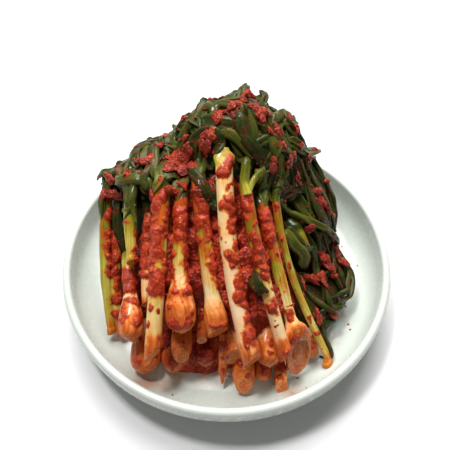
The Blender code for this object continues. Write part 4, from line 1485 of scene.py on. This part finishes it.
# %% The leaves that lie on top
# route as (lon, lat), width, thickness, shade, ends, lift
LAID_LAST = [
    ([(-24, 25), (-32, 20), (-42, 18), (-46, 12), (-44, 3), (-46, -4), (-49, -8)],
     7, 2.2, 0.22, "thin blunt", 1),
    ([(-27, 24), (-36, 18), (-43, 11), (-42, 3), (-41, -3)], 8, 2.0, 0.12, "thin blunt", 1),
    ([(-41, 2), (-46, 3), (-53, 3), (-60, 5)], 7, 1.6, 0.25, "blunt thin", 1),
    ([(-38, -13), (-38, -9), (-43, -7), (-50, -5), (-54, 0)], 8, 2.6, 0.34, "blunt blunt", 1.5),
    ([(-45, -17), (-50, -17), (-54, -15)], 5, 2.2, 0.55, "blunt blunt", 0.5),
    ([(-46, -16), (-51, -19), (-57, -22), (-61, -25), (-68, -27)], 4.6, 1.6, 0.18, "blunt thin", 0.4),
    ([(-38, 13), (-36, 5), (-36, -2), (-38, -8), (-39, -13)], 6.5, 2.2, 0.2, "thin blunt", 1),
    ([(-33, 18), (-35, 8), (-34, -1), (-34, -7), (-30, -11)], 7, 1.8, 0.3, "thin blunt", 1),
    ([(-12, 24), (-14, 17), (-17, 12), (-22, 8), (-26, 3)], 8.5, 3.2, 0.34, "thin blunt", 2),
    ([(-18, 25), (-22, 20), (-28, 14), (-30, 8)], 8, 2.2, 0.22, "thin blunt", 1),
    ([(-9, 11), (-6, 15), (-2, 13), (3, 10)], 6, 2.2, 0.28, "blunt blunt", 2),
    ([(-13, 10), (-8, 7), (-3, 5), (3, 4)], 11, 3.6, 0.2, "blunt blunt", 1.6),
    ([(-30, -10), (-31, -14), (-35, -16)], 6, 2.4, 0.62, "blunt blunt", 1.5),
    ([(-14, 2), (-17, -3), (-20, -9), (-22, -13)], 5.5, 1.8, 0.22, "blunt thin", 1),
    ([(-20, -1), (-17, 3), (-12, 4), (-8, 3), (-6, 0), (-9, -4)], 8.5, 2.0, 0.18, "blunt blunt", 2),
    ([(-9, 4), (-2, 2), (3, -1), (7, -5)], 7, 2.0, 0.45, "thin thin", 1),
    ([(-20, -8), (-17, -12), (-14, -17), (-11, -26)], 7, 2.6, 0.14, "blunt blunt", 0.4),
    ([(-16, -14), (-14, -19), (-10, -27)], 6, 2.2, 0.1, "blunt blunt", 0.4),
    ([(10, -55), (17, -58), (25, -61)], 9, 2.4, 0.1, "blunt cut", 5.5),
    ([(-1, 17), (4, 10), (7, 4), (9, -2)], 8, 2.0, 0.3, "thin blunt", 1),
    ([(-1, 12), (1, 7), (4, 1), (9, -3), (15, -7)], 10, 3.4, 0.12, "thin blunt", 1.6),
    ([(8, 19), (12, 13), (17, 8), (24, 6)], 8.5, 1.8, 0.3, "thin blunt", 1),
    ([(12, 24), (18, 17), (24, 13), (34, 12), (44, 8)], 6.5, 2.2, 0.2, "thin blunt", 1),
    ([(19, 20), (23, 15), (30, 16), (38, 18)], 6, 2.6, 0.25, "blunt blunt", 1.5),
    ([(8, 1), (13, 3), (17, 0), (22, -3), (24, -8), (24, -15)], 6.5, 2.2, 0.42, "thin blunt", 1),
    ([(9, -9), (13, -11), (17, -14), (22, -19)], 6, 2.2, 0.5, "blunt thin", 0.6),
    ([(20, -4), (26, -7), (35, -8), (45, -5)], 5.5, 1.8, 0.12, "blunt thin", 1),
    ([(26, 6), (33, 6), (43, 2), (50, -8), (62, -15), (80, -12)], 5, 1.6, 0.15, "thin thin", 0.8),
    ([(33, 12), (39, 11), (51, 4), (63, -4), (78, -8), (88, -10)], 6, 1.5, 0.2, "thin thin", 0.8),
    ([(40, 20), (50, 20), (60, 10), (72, 2), (82, -4), (88, -16)], 5.5, 1.6, 0.16, "thin thin", 0.8),
    ([(38, 26), (50, 28), (62, 24), (74, 16), (84, 6), (90, -6)], 5, 1.6, 0.2, "thin thin", 0.8),
    ([(24, 9), (34, 11), (44, 17), (54, 24)], 5.5, 2.4, 0.35, "blunt cut", 1.5),
    ([(40, -28), (50, -33), (60, -34), (66, -28)], 6, 2.6, 0.16, "blunt thin", 1),
    ([(36, -32), (46, -36), (58, -38), (68, -43)], 8.5, 4.2, 0.47, "blunt blunt", 1),
    ([(53, -24), (66, -30), (76, -34), (80, -44)], 5, 2.0, 0.12, "thin thin", 1),
    ([(80, -12), (82, -22), (81, -36), (86, -48), (92, -53)], 4.5, 1.6, 0.12, "thin thin", 1),
    ([(86, -10), (92, -23), (90, -37), (84, -46)], 4.5, 1.6, 0.2, "thin thin", 1),
    ([(89, -10), (93, -20), (94, -33), (92, -42)], 5, 1.8, 0.14, "thin blunt", 1),
    ([(54, -44), (66, -50), (78, -54), (88, -55)], 5, 1.8, 0.16, "thin thin", 1),
    ([(80, -42), (85, -46), (90, -44), (93, -38)], 4.2, 1.4, 0.22, "thin thin", 1.4),
    ([(76, -50), (84, -49), (91, -46), (96, -47), (92, -52)], 4.2, 1.6, 0.2, "thin blunt", 1),
    ([(84, -50), (92, -54), (101, -55), (108, -57)], 5, 1.8, 0.14, "blunt thin", 0.6),
    ([(61, -31), (72, -36), (76, -43), (72, -48)], 6, 2.2, 0.14, "blunt blunt", 1),
    ([(27, -16), (34, -18), (46, -20), (58, -20), (72, -17), (84, -13), (92, -12)],
     5, 2.6, 0.36, "blunt thin", 2.4),
    ([(1, 16), (3, 22), (6, 26)], 5.5, 2.6, 0.2, "blunt blunt", 3),
    ([(8, 18), (11, 23), (15, 25)], 5, 2.6, 0.2, "blunt blunt", 2.5),
]
for k, (route, width, thick, shade, ends, lift) in enumerate(LAID_LAST):
    ways = np.array([way(*place) for place in route])
    laid = lay_leaf(ways, 0.74 * width, 1.15 * thick, 500 + k, shade, ends.split(), 0.9 * lift,
                    room=12.0, twist=0.22, stiff=1.8)
    leaves["over"].append(laid)
print("laid last", len(LAID_LAST))

# %% Tufts
# tufts that stick out at the top: route, width, thickness, shade, height of the tip
TUFTS = [
    ([(7, 8), (3, 14), (4, 20), (5, 24)], 4.6, 2.6, 0.22, 4.5),
    ([(8, 12), (10, 16), (12, 22), (11, 25)], 4.2, 2.4, 0.2, 4),
    ([(14, 8), (17, 14), (21, 20), (24, 22)], 6, 2.4, 0.25, 4),
    ([(20, 12), (24, 17), (29, 22)], 5, 2.0, 0.25, 4),
    ([(24, 6), (34, 11), (44, 18), (52, 25)], 6, 2.6, 0.3, 5),
    ([(-41, 2), (-50, 4), (-58, 5), (-64, 6)], 6, 1.6, 0.25, 4),
    ([(-20, 10), (-26, 18), (-30, 26)], 5, 2.2, 0.2, 3),
    ([(-8, 19), (0, 18), (5, 20)], 6, 2.4, 0.25, 1),
]
for k, (route, width, thick, shade, tip) in enumerate(TUFTS):
    ways = np.array([way(*place) for place in route])
    laid = lay_leaf(ways, width, thick, 560 + k, shade, ("thin", "cut"), 0.5, room=12.0, stiff=1.8, tip=tip)
    leaves["over"].append(laid)
print("tufts", len(TUFTS), "highest", round(max(p[:, 2].max() for g in leaves.values() for p, _, _ in g), 1))

# %% [markdown]
# Paste on the leaves.
#
# Paste lies on the leaves in smears and crumbled lumps. A smear follows what is under it, so
# its top is the heap's map again, raised by a lumpy dome, and its rim sinks just below the
# leaves. Placing balls of paste would leave gaps under them, and a second texture on the leaves
# would stay flat, so each smear is a small closed mesh of its own.

# %% Where the smears are
# lon, lat and reach in mm
SMEARS = [
    (-25, 0, 5.0), (-27, -5, 4.0), (-22, -6, 4.0), (-20, 1, 2.7), (-10, 2, 3.4), (-12, -1, 3.0),
    (0, 12, 3.4), (3, 15, 2.1), (7, 11, 2.7), (9, 8, 3.0), (11, 11, 3.0), (13, 4, 1.7), (17, 7, 2.8),
    (20, 2, 1.9), (23, 17, 2.1), (27, 13, 2.3), (31, 9, 1.8), (28, 3, 1.8), (25, -2, 2.2), (17, -6, 2.4),
    (34, -3, 2.1), (57, -5, 3.0), (63, -6, 2.1), (71, -5, 2.1), (52, -1, 2.7), (-23, -15, 2.1),
    (-27, -17, 2.1), (-17, -19, 2.7), (-6, 8, 3.4), (-1, 7, 2.1), (-22, 19, 2.1), (-33, 8, 2.1),
    (-32, 15, 2.1), (-38, 0, 3.0), (-50, 1, 2.7), (-44, -5, 2.1), (-57, 1, 2.7), (-58, -5, 2.7),
    (-62, -3, 2.7), (-10, 24, 2.1), (-25, 24, 1.6), (5, 18, 2.7), (85, -17, 2.7), (87, -22, 2.7),
    (75, -29, 2.7), (79, -33, 2.1), (53, -24, 2.1), (78, -40, 2.7), (74, -44, 2.1), (69, -49, 2.1),
    (83, -54, 2.1), (91, -47, 2.1), (82, -34, 1.6), (-20, 5, 1.6), (-36, -17, 2.7), (-30, -12, 1.6),
    (-45, 12, 2.1), (10, 30, 3.0), (-12, 38, 2.7), (30, 36, 3.0), (-30, 40, 3.0), (12, 52, 3.0),
    (-20, 62, 3.0), (48, 52, 3.0), (62, 28, 3.0), (76, 40, 3.0), (-62, 34, 3.0), (-75, 16, 3.0),
    (-52, 26, 2.7), (90, 12, 2.7), (70, 66, 3.0), (-70, 60, 3.0), (20, 72, 3.0), (40, 10, 2.1),
    (46, 20, 2.1), (60, 10, 2.1), (-16, 30, 2.1), (-6, 46, 2.7), (36, 58, 2.7)
]
SMEARED = ["paste_left", "paste_top", "paste_crown"]


def leaf_patches():
    """The smears as centres on the finished heap and reaches in mm."""
    found = []
    for lon, lat, reach in SMEARS:
        ahead = way(lon, lat)
        found.append((*(HEART + ahead * float(read_map(surface, ahead[None])[0])), reach))
    return np.array(found)


def calmed(grid, rounds):
    """The map with each cell as the mean of itself and its four neighbours."""
    for _ in range(rounds):
        beside = np.roll(grid, 1, 0) + np.roll(grid, -1, 0) + np.roll(grid, 1, 1) + np.roll(grid, -1, 1)
        grid = (grid + beside) / 5
    return grid


def widened(grid, pick=np.maximum):
    """The map with each cell as the highest of itself and its neighbours, or the lowest."""
    for axis in (0, 1):
        grid = pick(pick(grid, np.roll(grid, 1, axis)), np.roll(grid, -1, axis))
    return grid


calm = calmed(widened(surface), 3)
LEAF_PATCHES = leaf_patches()
print("smears", len(LEAF_PATCHES), "calmed map higher by", (calm - surface).mean().round(2), "mm")


# %% Smears
def build_smear(centre, reach, seed):
    """A lumpy dome on the map: map + (0.2 + reach / 10) (1 - share^2)^0.6 times grains, its rim sunk in."""
    rng = np.random.default_rng(seed)
    ahead = unit(centre - HEART)
    right = unit(np.cross([0, 1, 0.2], ahead))
    up = np.cross(ahead, right)
    around = max(24, int(reach * 11))
    rings = max(7, int(reach / 0.5))
    a = np.arange(around) / around * 2 * np.pi
    phase = rng.random(4) * 6
    rim = reach * (1 + 0.22 * np.sin(2 * a + phase[0]) + 0.16 * np.sin(3 * a + phase[1])
                   + 0.13 * np.sin(5 * a + phase[2]) + 0.10 * np.sin(8 * a + phase[3]))
    share = np.linspace(0.04, 1, rings)
    r = share[:, None] * rim
    at = centre + r[..., None] * (np.cos(a)[:, None] * right + np.sin(a)[:, None] * up)
    aim = unit(at - HEART)
    base = read_map(calm, aim)
    place = HEART + aim * base[..., None]
    lumps = 1.3 * grains(place, 2.4, seed) + 0.9 * grains(place, 1.3, seed + 1) - 0.3
    dome = (0.2 + 0.10 * reach) * (1 - share[:, None] ** 2) ** 0.6 * lumps
    dome = dome + 1.4 * (soft_noise(place, 3.5, seed + 2) - 0.5) - 1.1 * share[:, None] ** 2 - 0.2
    top = HEART + aim * np.minimum(base + dome, read_map(LIMIT, aim))[..., None]
    low = HEART + aim[::-1] * (base[::-1] - 1.6)[..., None]
    points = np.concatenate([top, low]).reshape(-1, 3)
    return points, tube_faces(2 * rings, around), {}


smears = [build_smear(row[:3], row[3], 700 + k) for k, row in enumerate(LEAF_PATCHES)]
make_piece("paste_smears", join(smears), DULL_PASTE, SMEARED)
print("points in smears", sum(len(grid[0]) for grid in smears))

# %% [markdown]
# Crumbs of chilli.
#
# Ground chilli leaves flakes a millimetre or so across, thick near the smears and thin over the
# rest of the leaves. A few hundred are made at once, as one mesh with few faces each. Instances
# on points would be lighter to edit, but the frame wants each piece as a plain mesh.

# %% Crumbs
def ball_ways(tilt, turn):
    """Ways by the angle from straight up and the turn: (sin t cos a, sin t sin a, cos t)."""
    level = np.sin(tilt)
    return np.stack([level * np.cos(turn), level * np.sin(turn), np.cos(tilt) + 0 * turn], axis=-1)


def build_crumbs(places, out, size, seed, around=8, rings=6):
    """Many lumps at once: a sphere's grid times a size and a wavy radius, set down at each place."""
    rng = np.random.default_rng(seed)
    count = len(places)
    side = unit(np.cross(out, rng.normal(size=(count, 3))))
    front = np.cross(out, side)
    tilt = np.linspace(0.25, np.pi - 0.25, rings)[:, None]
    turn = np.arange(around) / around * 2 * np.pi
    ball = ball_ways(tilt, turn).reshape(-1, 3)
    stretch = size[:, None] * rng.uniform(0.6, 1.25, (count, 3)) * [1, 1, 0.6]
    shape = ball[None] * stretch[:, None] * (1 + 0.07 * rng.normal(size=(count, len(ball)))[..., None])
    points = places[:, None] + (shape[..., :1] * side[:, None] + shape[..., 1:2] * front[:, None]
                                + shape[..., 2:] * out[:, None])
    faces = tube_faces(rings, around)
    if signed_volume(points[0] - places[0], faces) < 0:
        faces = faces[:, ::-1]
    faces = faces[None] + len(ball) * np.arange(count)[:, None, None]
    return points.reshape(-1, 3), faces.reshape(-1, 4), {}


LOOSE = 320  # crumbs away from the smears


def scatter_crumbs():
    """Lumps of 0.8 to 2.2 mm heaped on each smear, and thinly over the rest of the leaves."""
    rng = np.random.default_rng(77)
    ways, sizes = [], []
    for x, y, z, reach in LEAF_PATCHES:
        count = int(2 + 0.3 * reach**2)
        offset = rng.normal(size=(count, 3)) * reach * 0.36
        ways.append(unit(np.array([x, y, z]) + offset - HEART))
        sizes.append(rng.uniform(0.4, 1.0 + 0.05 * reach, count))
    loose = np.array([towards(a, r) for a, r in zip(rng.uniform(-40, 190, LOOSE), rng.uniform(4, 88, LOOSE))])
    ways.append(loose)
    sizes.append(rng.uniform(0.35, 0.95, len(loose)))
    ways, sizes = np.concatenate(ways), np.concatenate(sizes)
    firm = widened(widened(surface, np.minimum), np.minimum)
    high = np.minimum(read_map(surface, ways), read_map(firm, ways) + 1.2)
    high = high + rng.uniform(-0.5, 0.3, len(ways)) * sizes
    high = np.minimum(high, read_map(LIMIT, ways) - sizes)
    return HEART + ways * high[:, None], ways, sizes


places, out, sizes = scatter_crumbs()
make_piece("paste_crumbs", build_crumbs(places, out, sizes, 5), DULL_PASTE, SMEARED)
print("crumbs", len(places))

# %% [markdown]
# Leaf skin.
#
# Salted leaves are nearly black green and wet, with a lighter rib and fibres along them, a red
# film of sauce in patches, and specks. The stored shade sets how light each leaf is. Most of the
# shine is a thin coat with a bumpy surface under it, because one smooth coat looks like plastic.

# %% Leaf skin as a finish
def build_leaf_finish():
    """Dark wet green, lighter by the stored shade, with fibres, a red film, specks and paste."""
    finish, tree, shader = new_finish("wet leaf")
    place = object_place(tree)
    lane = node(tree, "ShaderNodeUVMap", uv_map="lane").outputs[0]
    fibre = use_group(tree, FIBRE_GROUP, Lane=lane, Across=2.4)
    line, broad = fibre.outputs["Line"], fibre.outputs["Broad"]
    fine = noise_at(tree, place, 300, 4, 0.6)
    tone = plus(tree, plus(tree, field(tree, "shade"), swing(tree, line, 0.35)), swing(tree, broad, 0.35))
    skin = ramp(tree, tone, [(0.0, (0.012, 0.017, 0.004)), (0.18, (0.031, 0.044, 0.008)),
                             (0.36, (0.062, 0.082, 0.012)), (0.55, (0.12, 0.14, 0.016)),
                             (0.75, (0.23, 0.24, 0.025)), (0.98, (0.42, 0.41, 0.05))])
    ragged = use_group(tree, RAGGED_GROUP, Amount=field(tree, "paste"), Vector=place, Ragged=0.75)
    film = times(tree, grey_ramp(tree, fine, 0.46, 0.70), 0.55)
    film = plus(tree, film, times(tree, ragged.outputs["Stain"], 0.7))
    film = node(tree, "ShaderNodeClamp", {0: film, 2: 0.85}).outputs[0]
    skin = mix_colour(tree, film, skin, (0.15, 0.024, 0.009))
    gap, chosen = flecks_at(tree, place, 480.0, 0)
    dot = times(tree, grey_ramp(tree, gap, 0.34, 0.22), grey_ramp(tree, chosen, 0.86, 0.90))
    skin = mix_colour(tree, times(tree, dot, 0.9), skin, (0.34, 0.022, 0.012))
    paste = use_group(tree, PASTE_GROUP, Vector=place)
    mask = ragged.outputs["Mask"]
    wet = grey_ramp(tree, fine, 0.3, 0.75, 0.20, 0.40)
    rough = node(tree, "ShaderNodeMix", {0: mask, 2: wet, 3: paste.outputs["Roughness"]})
    skin = mix_colour(tree, mask, skin, paste.outputs["Color"])
    set_shader(tree, shader, base_color=skin, roughness=rough.outputs[0],
               coat_weight=0.20, coat_roughness=0.04, specular_ior_level=0.06)
    thick = times(tree, plus(tree, paste.outputs["Height"], 1.6), mask)
    height = plus(tree, times(tree, line, 0.8), thick)
    height = plus(tree, height, times(tree, dot, 0.8))
    pimple = noise_at(tree, place, 900, 3, 0.6)
    height = plus(tree, height, times(tree, pimple, 1.2))
    set_bump(tree, shader, height, 0.6, 0.0005)
    return finish


LEAF_FINISH = build_leaf_finish()
print("leaf finish nodes", len(LEAF_FINISH.node_tree.nodes))

# %% The leaves as pieces
for region, laid in leaves.items():
    points, quads, fields = join(laid)
    fields["paste"] = paste_amount(points, LEAF_PATCHES) - 0.03
    make_piece("leaves_" + region, (points, quads, fields), LEAF_FINISH, ["leaf_heap"])
    print(region, "faces", len(quads))

# %% The core as a piece
CORE_RINGS, CORE_AROUND = 120, 180


def build_core():
    """The core as rings of its reach from straight up to straight down."""
    tilt = np.linspace(0.012, math.pi - 0.012, CORE_RINGS)[:, None]
    turn = np.arange(CORE_AROUND) / CORE_AROUND * 2 * np.pi
    ways = ball_ways(tilt, turn)
    points = (HEART + ways * core_reach(ways)[..., None]).reshape(-1, 3)
    lane = girth_map(turn[None, :], np.full((CORE_RINGS, 1), 50), np.repeat(tilt[:, 0] * 60, CORE_AROUND))
    fields = {"shade": 0.02 + 0.1 * soft_noise(points, 3, 4), "lane": lane,
              "paste": paste_amount(points, LEAF_PATCHES)}
    return points, tube_faces(CORE_RINGS, CORE_AROUND), fields


make_piece("leaf_core", join([build_core()]), LEAF_FINISH, ["leaf_heap"])
print("core faces", CORE_RINGS * CORE_AROUND)

# %% [markdown]
# Floor, light and camera.
#
# The food was lit from above and a little from behind, by one broad soft light, on a pale
# surface. Here it is a large disc light behind and above the dish, a small one for the sharp
# glints on the wet skin, and a weak even light from everywhere. The camera looks down on the
# dish at 54 degrees from the front. The floor is not part of the object: it takes the shadow.

# %% Floor
FLOOR_SIDE = 3.0  # metres from its middle to its edge


def build_stage():
    mesh = bpy.data.meshes.new("floor")
    corners = [(x * FLOOR_SIDE, y * FLOOR_SIDE, 0) for x, y in ((-1, -1), (1, -1), (1, 1), (-1, 1))]
    mesh.from_pydata(corners, [], [(0, 1, 2, 3)])
    floor = bpy.data.objects.new("floor", mesh)
    bpy.context.scene.collection.objects.link(floor)
    finish, tree, shader = new_finish("pale floor")
    tone = noise_at(tree, object_place(tree), 3, 2)
    pale = ramp(tree, tone, [(0.3, (0.86, 0.86, 0.86)), (0.7, (0.88, 0.88, 0.88))])
    set_shader(tree, shader, base_color=pale, roughness=0.6)
    mesh.materials.append(finish)


build_stage()
print("floor side, m", 2 * FLOOR_SIDE)

# %% Lights
DISH_MIDDLE = (0, 0, 0.04)  # metres, like every place below
STUDIO_FILL = 0.14


def add_light(name, place, size, power):
    """A disc light at a place, turned towards the middle of the dish."""
    light = bpy.data.lights.new(name, "AREA")
    light.shape = "DISK"
    light.size = size
    light.energy = power
    made = bpy.data.objects.new(name, light)
    bpy.context.scene.collection.objects.link(made)
    made.location = place
    made.rotation_euler = (Vector(DISH_MIDDLE) - Vector(place)).to_track_quat("-Z", "Y").to_euler()


add_light("softbox", (0.05, 0.54, 0.81), 0.8, 14.5)
add_light("key", (-0.25, 0.15, 0.92), 0.16, 5.0)
world = bpy.data.worlds.new("studio")
world.use_nodes = True
world.node_tree.nodes["Background"].inputs[0].default_value = (1, 1, 1, 1)
world.node_tree.nodes["Background"].inputs[1].default_value = STUDIO_FILL
bpy.context.scene.world = world
bpy.context.scene.view_settings.view_transform = "Standard"
print("lights", len(bpy.data.lights))

# %% Camera
CAMERA_PLACE = (-0.0008, -0.1579, 0.2676)
LOOKING_DOWN = 53.81  # degrees below level
camera = bpy.data.cameras.new("camera")
camera.sensor_width = 36
camera.lens = 41.36  # mm, for that sensor
camera.clip_start = 0.01
viewer = bpy.data.objects.new("camera", camera)
bpy.context.scene.collection.objects.link(viewer)
viewer.location = CAMERA_PLACE
viewer.rotation_euler = (math.radians(90 - LOOKING_DOWN), 0, 0)
bpy.context.scene.camera = viewer
print("field of view, degrees", round(math.degrees(camera.angle), 1))
